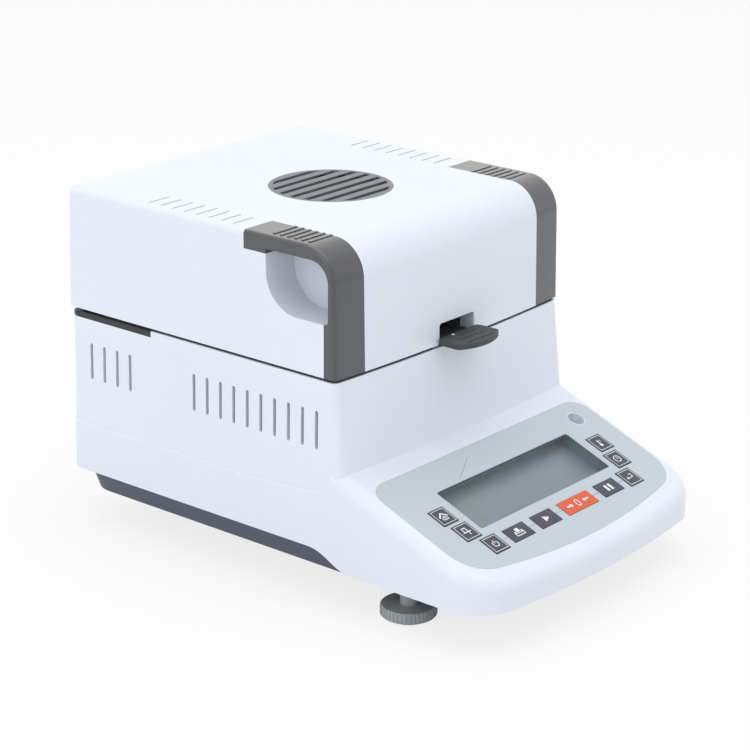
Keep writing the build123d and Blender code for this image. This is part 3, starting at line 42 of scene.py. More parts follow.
MM = 0.001
PANEL_SLOPE = math.radians(21.5)
PANEL_ORIGIN = Vector((0.0, -52.0, 78.35)) * MM
PRINT_LIFT = 0.02 * MM
PRINT_THICKNESS = 0.04 * MM
KEY_PROUD = 0.3 * MM
CHAMBER_Y = 42.5 * MM
GRAIN_STRENGTH = 0.35
GRAIN_TONE_SCALE = 9.0
SCRATCH_STRENGTH = 0.12
SCRATCH_HEIGHT = 0.03 * MM
SCRATCH_SPREAD = 0.18
METAL_TONE_SCALE = 20.0
METAL_DARK_SHARE = 0.9
GLASS_DRIFT_SCALE = 60.0
GLASS_SPREAD = 0.02
GLASS_INDEX = 1.45
DISC_SIDES = 24
ARC_STEP = 12
ARC_MIN_STEPS = 6
SHARP_ANGLE = math.radians(30)
MERGE_DISTANCE = 1e-7


class Body(str, Enum):
    """The moving bodies of the instrument that carry new pieces."""

    INSTRUMENT = "instrument"
    LID = "lid"
    HANDLER = "handler"


class Slot(str, Enum):
    """Material slots of the record."""

    WHITE = "white_plastic"
    GREY = "grey_plastic"
    STEEL = "steel"
    BLACK = "black_plastic"
    FOOT = "foot_grey"


Colour = tuple[float, float, float]


def grey_from_screen(*levels: int) -> Colour:
    """Turns screen levels from 0 to 255 into a colour in linear light.

    Args:
        levels: red, green and blue as they show on a screen.

    Returns:
        The same colour in linear light.
    """
    linear = []
    for level in levels:
        share = level / 255
        linear.append(share / 12.92 if share <= 0.04045 else ((share + 0.055) / 1.055) ** 2.4)
    return linear[0], linear[1], linear[2]


def new_group(name: str, inputs: dict[str, tuple[str, object]],
              outputs: dict[str, str]) -> bpy.types.NodeTree:
    """Makes an empty shader group with named sockets.

    Args:
        name: the group's name.
        inputs: socket name to its type and default value.
        outputs: socket name to its type.

    Returns:
        The new group, with its input and output nodes named "in" and "out".
    """
    tree = bpy.data.node_groups.new(name, "ShaderNodeTree")
    for socket, (kind, default) in inputs.items():
        made = tree.interface.new_socket(socket, in_out="INPUT", socket_type=kind)
        if default is not None:
            made.default_value = default
    for socket, kind in outputs.items():
        tree.interface.new_socket(socket, in_out="OUTPUT", socket_type=kind)
    tree.nodes.new("NodeGroupInput").name = "in"
    tree.nodes.new("NodeGroupOutput").name = "out"
    return tree


def grain_group() -> bpy.types.NodeTree:
    """Fine moulded grain: a height for bump and a roughness that drifts over the surface.

    Returns:
        The shader group.
    """
    tree = new_group(
        "moulded grain",
        {"Vector": ("NodeSocketVector", None), "Scale": ("NodeSocketFloat", 900.0),
         "Roughness": ("NodeSocketFloat", 0.4), "Spread": ("NodeSocketFloat", 0.05)},
        {"Roughness": "NodeSocketFloat", "Height": "NodeSocketFloat"},
    )
    nodes, links = tree.nodes, tree.links
    fine = nodes.new("ShaderNodeTexNoise")
    fine.inputs["Detail"].default_value = 2.0
    slow = nodes.new("ShaderNodeTexNoise")
    slow.inputs["Scale"].default_value = 22.0
    slow.inputs["Detail"].default_value = 3.0
    links.new(nodes["in"].outputs["Vector"], fine.inputs["Vector"])
    links.new(nodes["in"].outputs["Scale"], fine.inputs["Scale"])
    links.new(nodes["in"].outputs["Vector"], slow.inputs["Vector"])
    centred = nodes.new("ShaderNodeMath")
    centred.operation = "SUBTRACT"
    centred.inputs[1].default_value = 0.5
    links.new(slow.outputs["Fac"], centred.inputs[0])
    spread = nodes.new("ShaderNodeMath")
    spread.operation = "MULTIPLY_ADD"
    links.new(centred.outputs[0], spread.inputs[0])
    links.new(nodes["in"].outputs["Spread"], spread.inputs[1])
    links.new(nodes["in"].outputs["Roughness"], spread.inputs[2])
    links.new(spread.outputs[0], nodes["out"].inputs["Roughness"])
    links.new(fine.outputs["Fac"], nodes["out"].inputs["Height"])
    return tree


def drift_group() -> bpy.types.NodeTree:
    """A colour that drifts slightly lighter and darker over the surface.

    Returns:
        The shader group.
    """
    tree = new_group(
        "tone drift",
        {"Vector": ("NodeSocketVector", None), "Light": ("NodeSocketColor", None),
         "Dark": ("NodeSocketColor", None), "Scale": ("NodeSocketFloat", 8.0)},
        {"Color": "NodeSocketColor"},
    )
    nodes, links = tree.nodes, tree.links
    cloud = nodes.new("ShaderNodeTexNoise")
    cloud.inputs["Detail"].default_value = 4.0
    cloud.inputs["Roughness"].default_value = 0.6
    links.new(nodes["in"].outputs["Vector"], cloud.inputs["Vector"])
    links.new(nodes["in"].outputs["Scale"], cloud.inputs["Scale"])
    mix = nodes.new("ShaderNodeMix")
    mix.data_type = "RGBA"
    links.new(cloud.outputs["Fac"], mix.inputs["Factor"])
    links.new(nodes["in"].outputs["Dark"], mix.inputs[6])
    links.new(nodes["in"].outputs["Light"], mix.inputs[7])
    links.new(mix.outputs[2], nodes["out"].inputs["Color"])
    return tree


def brushed_group() -> bpy.types.NodeTree:
    """Fine scratches of brushed or turned metal, drawn out along one direction or round an axis.

    Returns:
        The shader group.
    """
    tree = new_group(
        "brushed metal",
        {"Vector": ("NodeSocketVector", None), "Roughness": ("NodeSocketFloat", 0.3),
         "Spread": ("NodeSocketFloat", 0.2)},
        {"Roughness": "NodeSocketFloat", "Height": "NodeSocketFloat"},
    )
    nodes, links = tree.nodes, tree.links
    scratch = nodes.new("ShaderNodeTexNoise")
    scratch.inputs["Scale"].default_value = 1.0
    scratch.inputs["Detail"].default_value = 3.0
    links.new(nodes["in"].outputs["Vector"], scratch.inputs["Vector"])
    spread = nodes.new("ShaderNodeMath")
    spread.operation = "MULTIPLY_ADD"
    links.new(scratch.outputs["Fac"], spread.inputs[0])
    links.new(nodes["in"].outputs["Spread"], spread.inputs[1])
    links.new(nodes["in"].outputs["Roughness"], spread.inputs[2])
    links.new(spread.outputs[0], nodes["out"].inputs["Roughness"])
    links.new(scratch.outputs["Fac"], nodes["out"].inputs["Height"])
    return tree


@dataclass
class ShaderGroups:
    """The shader groups that the finishes share."""

    grain: bpy.types.NodeTree = field(default_factory=grain_group)
    drift: bpy.types.NodeTree = field(default_factory=drift_group)
    brushed: bpy.types.NodeTree = field(default_factory=brushed_group)


def blank_material(name: str) -> tuple[bpy.types.Material, bpy.types.Node]:
    """Makes a node material.

    Args:
        name: the material's name.

    Returns:
        The material and its Principled shader.
    """
    material = bpy.data.materials.new(name)
    material.use_nodes = True
    return material, material.node_tree.nodes["Principled BSDF"]


def place_group(material: bpy.types.Material, tree: bpy.types.NodeTree, **values: object) -> bpy.types.Node:
    """Puts a shader group in a material.

    Args:
        material: the material that takes it.
        tree: the group.
        values: socket names and their values.

    Returns:
        The group's node.
    """
    node = material.node_tree.nodes.new("ShaderNodeGroup")
    node.node_tree = tree
    for socket, value in values.items():
        node.inputs[socket].default_value = value
    return node


def object_coordinates(material: bpy.types.Material) -> bpy.types.NodeSocket:
    """The Object coordinate socket of a material's Texture Coordinate node."""
    return material.node_tree.nodes.new("ShaderNodeTexCoord").outputs["Object"]


def add_bump(material: bpy.types.Material, shader: bpy.types.Node, height: bpy.types.NodeSocket,
             strength: float, distance: float) -> None:
    """Feeds a height to a shader's normal.

    Args:
        material: the material.
        shader: its Principled shader.
        height: the socket that gives the height.
        strength: share of the bump that shows.
        distance: height in metres that a value of 1 stands for.
    """
    bump = material.node_tree.nodes.new("ShaderNodeBump")
    bump.inputs["Strength"].default_value = strength
    bump.inputs["Distance"].default_value = distance
    material.node_tree.links.new(height, bump.inputs["Height"])
    material.node_tree.links.new(bump.outputs["Normal"], shader.inputs["Normal"])


@dataclass(frozen=True)
class MouldedPlastic:
    """Injection-moulded plastic: its colour, gloss and grain."""

    name: str
    colour: Colour
    roughness: float
    spread: float = 0.06
    drift: float = 0.03
    grain_scale: float = 1400.0
    grain_height: float = 0.00002
    coat: float = 0.0

    def material(self, groups: ShaderGroups) -> bpy.types.Material:
        """Builds the finish.

        Args:
            groups: the shared shader groups.

        Returns:
            The material.
        """
        material, shader = blank_material(self.name)
        links = material.node_tree.links
        coordinates = object_coordinates(material)
        dark = tuple(level * (1 - self.drift) for level in self.colour)
        light = tuple(min(1.0, level * (1 + self.drift)) for level in self.colour)
        tone = place_group(material, groups.drift, Light=(*light, 1.0), Dark=(*dark, 1.0),
                           Scale=GRAIN_TONE_SCALE)
        links.new(coordinates, tone.inputs["Vector"])
        links.new(tone.outputs["Color"], shader.inputs["Base Color"])
        grain = place_group(material, groups.grain, Scale=self.grain_scale, Roughness=self.roughness,
                            Spread=self.spread)
        links.new(coordinates, grain.inputs["Vector"])
        links.new(grain.outputs["Roughness"], shader.inputs["Roughness"])
        add_bump(material, shader, grain.outputs["Height"], GRAIN_STRENGTH, self.grain_height)
        shader.inputs["Coat Weight"].default_value = self.coat
        shader.inputs["Coat Roughness"].default_value = 0.15
        return material


@dataclass(frozen=True)
class BrushedMetal:
    """Metal with scratches along one row axis, or round the chamber's axis where turned is set."""

    name: str
    colour: Colour
    roughness: float
    stretch: tuple[float, float, float] = (30.0, 3500.0, 3500.0)
    turned: bool = False

    def turned_vector(self, tree: bpy.types.NodeTree, vector: bpy.types.NodeSocket) -> bpy.types.NodeSocket:
        """Turns a place into its distance from the chamber's axis and its height.

        Args:
            tree: the material's node tree.
            vector: the place, measured from the axis.

        Returns:
            The socket that gives distance and height, each drawn out by its stretch.
        """
        nodes, links = tree.nodes, tree.links
        flat = nodes.new("ShaderNodeVectorMath")
        flat.operation = "MULTIPLY"
        flat.inputs[1].default_value = (1.0, 1.0, 0.0)
        links.new(vector, flat.inputs[0])
        radius = nodes.new("ShaderNodeVectorMath")
        radius.operation = "LENGTH"
        links.new(flat.outputs["Vector"], radius.inputs[0])
        split = nodes.new("ShaderNodeSeparateXYZ")
        links.new(vector, split.inputs["Vector"])
        join = nodes.new("ShaderNodeCombineXYZ")
        measures = (
            (radius.outputs["Value"], self.stretch[1], "X"),
            (split.outputs["Z"], self.stretch[2], "Y"),
        )
        for measure, stretch, axis in measures:
            drawn = nodes.new("ShaderNodeMath")
            drawn.operation = "MULTIPLY"
            drawn.inputs[1].default_value = stretch
            links.new(measure, drawn.inputs[0])
            links.new(drawn.outputs[0], join.inputs[axis])
        return join.outputs["Vector"]

    def material(self, groups: ShaderGroups) -> bpy.types.Material:
        """Builds the finish.

        Args:
            groups: the shared shader groups.

        Returns:
            The material.
        """
        material, shader = blank_material(self.name)
        nodes, links = material.node_tree.nodes, material.node_tree.links
        mapping = nodes.new("ShaderNodeMapping")
        links.new(object_coordinates(material), mapping.inputs["Vector"])
        source = mapping.outputs["Vector"]
        if self.turned:
            mapping.inputs["Location"].default_value = (0.0, -CHAMBER_Y, 0.0)
            source = self.turned_vector(material.node_tree, source)
        else:
            mapping.inputs["Scale"].default_value = self.stretch
        scratches = place_group(material, groups.brushed, Roughness=self.roughness, Spread=SCRATCH_SPREAD)
        links.new(source, scratches.inputs["Vector"])
        links.new(scratches.outputs["Roughness"], shader.inputs["Roughness"])
        add_bump(material, shader, scratches.outputs["Height"], SCRATCH_STRENGTH, SCRATCH_HEIGHT)
        tone = place_group(material, groups.drift, Light=(*self.colour, 1.0),
                           Dark=(*(level * METAL_DARK_SHARE for level in self.colour), 1.0),
                           Scale=METAL_TONE_SCALE)
        links.new(object_coordinates(material), tone.inputs["Vector"])
        links.new(tone.outputs["Color"], shader.inputs["Base Color"])
        shader.inputs["Metallic"].default_value = 1.0
        return material


@dataclass(frozen=True)
class ClearGlass:
    """Clear or tinted glass. A pane close over a print has a low cover, which lets the print show."""

    name: str
    colour: Colour
    roughness: float = 0.02
    cover: float = 1.0

    def material(self, groups: ShaderGroups) -> bpy.types.Material:
        """Builds the finish.

        Args:
            groups: the shared shader groups.

        Returns:
            The material.
        """
        material, shader = blank_material(self.name)
        links = material.node_tree.links
        grain = place_group(material, groups.grain, Scale=GLASS_DRIFT_SCALE, Roughness=self.roughness,
                            Spread=GLASS_SPREAD)
        links.new(object_coordinates(material), grain.inputs["Vector"])
        links.new(grain.outputs["Roughness"], shader.inputs["Roughness"])
        shader.inputs["Base Color"].default_value = (*self.colour, 1.0)
        shader.inputs["Transmission Weight"].default_value = 1.0
        shader.inputs["IOR"].default_value = GLASS_INDEX
        shader.inputs["Alpha"].default_value = self.cover
        return material


@dataclass
class Finishes:
    """Every finish of the instrument, built once."""

    groups: ShaderGroups = field(default_factory=ShaderGroups)
    made: dict[str, bpy.types.Material] = field(default_factory=dict)

    def get(self, finish: MouldedPlastic | BrushedMetal | ClearGlass) -> bpy.types.Material:
        """The material of a finish, built the first time it is asked for."""
        if finish.name not in self.made:
            self.made[finish.name] = finish.material(self.groups)
        return self.made[finish.name]


CASING = MouldedPlastic("casing white", (0.81, 0.845, 0.92), 0.36, grain_height=0.000012, coat=0.1)
GRIP = MouldedPlastic("grip grey", grey_from_screen(60, 61, 64), 0.33, drift=0.05, grain_height=0.00003,
                      coat=1.0)
PADDLE = MouldedPlastic("paddle grey", grey_from_screen(68, 71, 73), 0.6, drift=0.06, grain_height=0.00003)
TRAY = MouldedPlastic("tray grey", grey_from_screen(82, 87, 102), 0.5, drift=0.05, grain_height=0.00004)
GRILLE = MouldedPlastic("grille grey", grey_from_screen(118, 123, 129), 0.42, drift=0.05)
FILM = MouldedPlastic("panel film", grey_from_screen(197, 205, 210), 0.5, drift=0.015, grain_scale=2600.0)
DISPLAY = MouldedPlastic("display grey", grey_from_screen(148, 161, 167), 0.3, drift=0.04, grain_height=0.0)
KEY_CAP = MouldedPlastic("key slate", grey_from_screen(64, 68, 80), 0.45, drift=0.06, grain_scale=2600.0)
KEY_TARE = MouldedPlastic("key orange", grey_from_screen(224, 94, 56), 0.45, drift=0.03, grain_scale=2600.0)
INK_WHITE = MouldedPlastic("white print", (0.88, 0.89, 0.90), 0.5, grain_height=0.0)
INK_GREY = MouldedPlastic("grey print", grey_from_screen(138, 146, 148), 0.5, grain_height=0.0)
# Dark print of the display's mask, also used as painted shadow of the display's recess.
INK_DARK_SHADOW = MouldedPlastic("dark print and painted shadow", grey_from_screen(56, 60, 68), 0.5, grain_height=0.0)
FOOT = MouldedPlastic("foot grey", grey_from_screen(166, 171, 173), 0.4, drift=0.04)
HINGE = MouldedPlastic("hinge black", grey_from_screen(44, 45, 47), 0.5, drift=0.05)
RUBBER = MouldedPlastic("rubber", (0.025, 0.025, 0.027), 0.75, drift=0.15, grain_height=0.00005)
BLACK = MouldedPlastic("socket black", (0.02, 0.02, 0.022), 0.45, drift=0.1)
CERAMIC = MouldedPlastic("ceramic", (0.80, 0.78, 0.72), 0.6, drift=0.05, grain_scale=700.0)
BOARD = MouldedPlastic("circuit board", (0.03, 0.17, 0.07), 0.4, drift=0.2, grain_scale=300.0)
STEEL = BrushedMetal("brushed steel", (0.62, 0.63, 0.64), 0.28)
TURNED_STEEL = BrushedMetal("turned steel", (0.66, 0.67, 0.68), 0.22, turned=True)
SPUN = BrushedMetal("spun aluminium", (0.80, 0.81, 0.82), 0.26, turned=True)
CAST = BrushedMetal("machined aluminium", (0.74, 0.75, 0.76), 0.35, stretch=(900.0, 60.0, 900.0))
ZINC = BrushedMetal("zinc sheet", (0.50, 0.51, 0.53), 0.45, stretch=(120.0, 120.0, 120.0))
BRASS = BrushedMetal("brass", (0.78, 0.60, 0.30), 0.3)
GLASS = ClearGlass("clear glass", (0.96, 0.98, 0.98))
WINDOW = ClearGlass("display window", (0.97, 0.98, 0.98), cover=0.04)
LAMP_GLASS = ClearGlass("lamp glass", (0.97, 0.97, 0.95))
LEVEL_FLUID = ClearGlass("level fluid", (0.90, 0.95, 0.90), cover=0.12)

NODE_FINISHES: dict[str, MouldedPlastic | BrushedMetal | ClearGlass] = {
    "base_housing": CASING, "chamber_housing": CASING, "chamber_deck": CASING, "lid_shell": CASING,
    "bottom_tray": TRAY, "hinge_plate": HINGE, "left_handle": GRIP, "right_handle": GRIP,
    "pan_handler": PADDLE, "vent_grille": GRILLE, "panel_film": FILM, "lcd_module": DISPLAY,
    "lcd_window": WINDOW, "level_cup": CASING, "level_vial": LEVEL_FLUID,
    "hinge_brackets": STEEL, "hinge_pins": STEEL, "lid_hinge_arms": STEEL, "housing_screws": STEEL,
    "lid_screws": STEEL, "chamber_liner": TURNED_STEEL, "wind_ring": TURNED_STEEL,
    "pan_support": STEEL, "load_cell": CAST, "load_cell_mount": CAST, "main_board": BOARD,
    "key_board": BOARD, "power_supply": ZINC, "mains_inlet": BLACK, "switch_frame": BLACK,
    "switch_rocker": BLACK, "serial_port": ZINC, "foot_bushes": BRASS, "rear_feet": RUBBER,
    "lid_bumpers": RUBBER, "inner_plate": STEEL, "reflector": TURNED_STEEL, "halogen_lamp": LAMP_GLASS,
    "lamp_holders": CERAMIC, "protective_glass": GLASS, "glass_retainer": TURNED_STEEL,
    "temperature_probe": STEEL, "sample_pan": SPUN, "left_foot_pad": RUBBER, "right_foot_pad": RUBBER,
    "left_foot_wheel": FOOT, "right_foot_wheel": FOOT, "left_foot_stud": FOOT, "right_foot_stud": FOOT,
    # lid_seal is a black strip in the gap under the lid: painted shade that darkens the gap.
    "lid_seal": RUBBER,
}


def dress_nodes(finishes: Finishes) -> None:
    """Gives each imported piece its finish.

    Args:
        finishes: the instrument's finishes.
    """
    for name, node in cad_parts.items():
        finish = NODE_FINISHES.get(name, KEY_TARE if name == "key_tare" else KEY_CAP)
        node.data.materials.clear()
        node.data.materials.append(finishes.get(finish))
        log.info("dressed %s with %s", name, finish.name)


def panel_matrix(x: float, s: float, lift: float) -> Matrix:
    """Places flat work on the sloped panel.

    Args:
        x: metres from the middle, to the right.
        s: metres down the slope.
        lift: metres above the panel.

    Returns:
        A matrix whose X runs right, Y up the slope and Z out of the panel.
    """
    up = Vector((0.0, math.cos(PANEL_SLOPE), math.sin(PANEL_SLOPE)))
    out = Vector((0.0, -math.sin(PANEL_SLOPE), math.cos(PANEL_SLOPE)))
    place = PANEL_ORIGIN + Vector((x, 0.0, 0.0)) - up * s + out * lift
    right = Vector((1.0, 0.0, 0.0))
    return Matrix((
        (right.x, up.x, out.x, place.x),
        (right.y, up.y, out.y, place.y),
        (right.z, up.z, out.z, place.z),
        (0.0, 0.0, 0.0, 1.0),
    ))


def finish_piece(work: BMesh, name: str, body: Body | str, material: bpy.types.Material,
                 smooth: bool = False) -> bpy.types.Object:
    """Turns a bmesh into a piece that rides on a body.

    Args:
        work: the shape, in the row frame.
        name: the piece's name.
        body: the body that carries it.
        material: the piece's material.
        smooth: whether curved faces shade smoothly, with edges over 30 degrees kept sharp.

    Returns:
        The new object.
    """
    bmesh.ops.remove_doubles(work, verts=work.verts, dist=MERGE_DISTANCE)
    bmesh.ops.recalc_face_normals(work, faces=work.faces)
    mesh = bpy.data.meshes.new(name)
    work.to_mesh(mesh)
    work.free()
    if smooth:
        mesh.shade_smooth()
        mesh.set_sharp_from_angle(angle=SHARP_ANGLE)
    piece = bpy.data.objects.new(name, mesh)
    bpy.context.scene.collection.objects.link(piece)
    mesh.materials.append(material)
    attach(piece, body.value if isinstance(body, Body) else body)
    log.info("made %s on %s", name, body)
    return piece


def thicken(work: BMesh, faces: list[BMFace], amount: float) -> list[BMVert]:
    """Draws flat faces out along Z into a solid.

    Args:
        work: the bmesh that holds them.
        faces: the flat faces.
        amount: the thickness.

    Returns:
        The vertices of the far side.
    """
    made = bmesh.ops.extrude_face_region(work, geom=faces)
    far = [item for item in made["geom"] if isinstance(item, BMVert)]
    bmesh.ops.translate(work, verts=far, vec=Vector((0.0, 0.0, amount)))
    return far


@dataclass
class FlatPrint:
    """Flat printed shapes in millimetres, drawn to one place of the panel and given a slight thickness."""

    place: Matrix
    work: BMesh = field(default_factory=bmesh.new)
    thickness: float = PRINT_THICKNESS

    def _add(self, points: list[tuple[float, float]]) -> None:
        """Adds one filled outline from its corner points."""
        verts = [self.work.verts.new((x * MM, y * MM, 0.0)) for x, y in points]
        face = self.work.faces.new(verts)
        before = set(self.work.verts) - set(verts)
        thicken(self.work, [face], self.thickness)
        new = [vert for vert in self.work.verts if vert not in before]
        bmesh.ops.transform(self.work, matrix=self.place, verts=new)

    def polygon(self, *points: tuple[float, float]) -> "FlatPrint":
        """Adds a filled outline."""
        self._add(list(points))
        return self

    def bar(self, start: tuple[float, float], end: tuple[float, float], width: float) -> "FlatPrint":
        """Adds a straight stroke with square ends.

        Args:
            start: its first end.
            end: its other end.
            width: its width.

        Returns:
            This drawing.
        """
        along = (Vector(end) - Vector(start)).normalized()
        side = Vector((-along.y, along.x)) * width / 2
        corners = [Vector(start) + side, Vector(start) - side, Vector(end) - side, Vector(end) + side]
        self._add([(corner.x, corner.y) for corner in corners])
        return self

    def arc(self, centre: tuple[float, float], radius: float, width: float,
            start: float = 0.0, end: float = 360.0) -> "FlatPrint":
        """Adds a curved stroke by turning a short edge round its centre.

        Args:
            centre: the centre of the arc.
            radius: to the middle of the stroke.
            width: the stroke's width.
            start: the first angle in degrees, from the right.
            end: the last angle in degrees.

        Returns:
            This drawing.
        """
        before = set(self.work.verts)
        turn = Vector((math.cos(math.radians(start)), math.sin(math.radians(start)), 0.0))
        middle = Vector((*centre, 0.0)) * MM
        inner = self.work.verts.new(middle + turn * (radius - width / 2) * MM)
        outer = self.work.verts.new(middle + turn * (radius + width / 2) * MM)
        edge = self.work.edges.new((inner, outer))
        full = abs(end - start) >= 360.0
        steps = max(ARC_MIN_STEPS, round(abs(end - start) / ARC_STEP))
        bmesh.ops.spin(self.work, geom=[edge, inner, outer], cent=middle, axis=Vector((0.0, 0.0, 1.0)),
                       angle=math.radians(end - start), steps=steps, use_merge=full)
        new = [vert for vert in self.work.verts if vert not in before]
        faces = list({face for vert in new for face in vert.link_faces})
        far = thicken(self.work, faces, self.thickness)
        bmesh.ops.transform(self.work, matrix=self.place, verts=list(set(new + far)))
        return self

    def disc(self, centre: tuple[float, float], radius: float) -> "FlatPrint":
        """Adds a filled circle.

        Args:
            centre: its centre.
            radius: its radius.

        Returns:
            This drawing.
        """
        points = []
        for step in range(DISC_SIDES):
            angle = math.tau * step / DISC_SIDES
            points.append((centre[0] + radius * math.cos(angle), centre[1] + radius * math.sin(angle)))
        self._add(points)
        return self

    def box_line(self, half_width: float, half_length: float, width: float) -> "FlatPrint":
        """Adds a rectangular line frame round the middle.

        Args:
            half_width: from the middle to the line's centre, sideways.
            half_length: from the middle to the line's centre, along the slope.
            width: the line's width.

        Returns:
            This drawing.
        """
        reach_x = half_width + width / 2
        reach_y = half_length - width / 2
        for side in (-1, 1):
            self.bar((-reach_x, side * half_length), (reach_x, side * half_length), width)
            self.bar((side * half_width, -reach_y), (side * half_width, reach_y), width)
        return self


def draw_home(art: FlatPrint) -> None:
    """A house: a broad roof over two walls and a door."""
    art.bar((-3.2, -0.4), (0.2, 2.7), 0.95).bar((-0.2, 2.7), (3.2, -0.4), 0.95)
    art.bar((-1.9, -0.6), (-1.9, -2.6), 0.5).bar((1.9, -0.6), (1.9, -2.6), 0.5)
    art.bar((-2.15, -2.6), (2.15, -2.6), 0.5).arc((0.0, -0.9), 0.8, 0.5)


def draw_menu(art: FlatPrint) -> None:
    """A cross with a square in one of its corners."""
    art.bar((-3.0, -0.5), (3.0, -0.5), 0.65)
    art.bar((0.9, -2.9), (0.9, -0.85), 0.65).bar((0.9, -0.15), (0.9, 2.3), 0.65)
    art.bar((-1.8, -0.15), (-1.8, 2.3), 0.6).bar((-2.1, 2.6), (1.25, 2.6), 0.6)


def draw_power(art: FlatPrint) -> None:
    """An open ring with a stroke through its gap."""
    art.arc((0.0, -0.3), 2.0, 0.55, 125.0, 415.0).bar((0.0, 0.0), (0.0, 2.6), 0.55)


def draw_printer(art: FlatPrint) -> None:
    """A printer with a sheet of paper standing out of it."""
    art.polygon((-1.5, 0.1), (1.5, 0.1), (1.5, 2.9), (-1.5, 2.9))
    art.polygon((-3.6, -0.4), (-2.2, -0.4), (-2.2, 0.9), (-3.2, 0.9))
    art.polygon((2.2, -0.4), (3.6, -0.4), (3.2, 0.9), (2.2, 0.9))
    art.bar((-3.6, -2.4), (3.6, -2.4), 0.6).bar((-3.4, -2.4), (-3.4, -0.4), 0.5)
    art.bar((3.4, -2.4), (3.4, -0.4), 0.5).bar((-3.4, -0.7), (3.4, -0.7), 0.6)


def draw_play(art: FlatPrint) -> None:
    """A filled triangle that points right."""
    art.polygon((-1.7, -2.3), (2.7, 0.0), (-1.7, 2.3))


def draw_tare(art: FlatPrint) -> None:
    """A plain nought between two arrows that point inwards."""
    for side in (-1, 1):
        art.bar((side * 9.8, 0.0), (side * 6.7, 0.0), 1.0)
        art.polygon(*((side * x, y * side) for x, y in ((6.6, -1.5), (6.6, 1.5), (4.4, 0.0))))
    art.bar((-1.35, -1.1), (-1.35, 1.1), 0.62).bar((1.35, -1.1), (1.35, 1.1), 0.62)
    art.arc((0.0, 1.0), 1.35, 0.62, 0.0, 180.0).arc((0.0, -1.0), 1.35, 0.62, 180.0, 360.0)


def draw_pause(art: FlatPrint) -> None:
    """Two upright bars."""
    art.bar((-1.75, -2.4), (-1.75, 2.4), 1.9).bar((1.75, -2.4), (1.75, 2.4), 1.9)


def draw_return(art: FlatPrint) -> None:
    """An arrow that turns back to the left."""
    art.bar((-2.4, -0.6), (2.6, -0.6), 0.55).bar((2.4, -0.6), (2.4, 1.9), 0.55)
    art.bar((2.6, 1.9), (0.6, 1.9), 0.55)
    art.polygon((-3.2, -0.6), (-1.6, -1.8), (-1.6, 0.6))


def draw_clock(art: FlatPrint) -> None:
    """A clock face with two hands."""
    art.arc((0.0, 0.0), 2.4, 0.55).bar((0.0, -0.2), (0.0, 1.5), 0.45).bar((-0.2, 0.0), (1.3, 0.0), 0.45)


def draw_thermometer(art: FlatPrint) -> None:
    """A thermometer with its bulb below and two marks beside it."""
    art.disc((-0.5, -1.8), 1.15).bar((-0.5, -1.2), (-0.5, 2.5), 0.8)
    art.bar((0.6, 1.8), (2.0, 1.8), 0.4).bar((0.6, 0.6), (1.6, 0.6), 0.4)


@dataclass(frozen=True)
class KeyFace:
    """What is printed on one key: its place in millimetres, its icon and whether a line frames it."""

    name: str
    x: float
    s: float
    icon: Callable[[FlatPrint], None]
    framed: bool


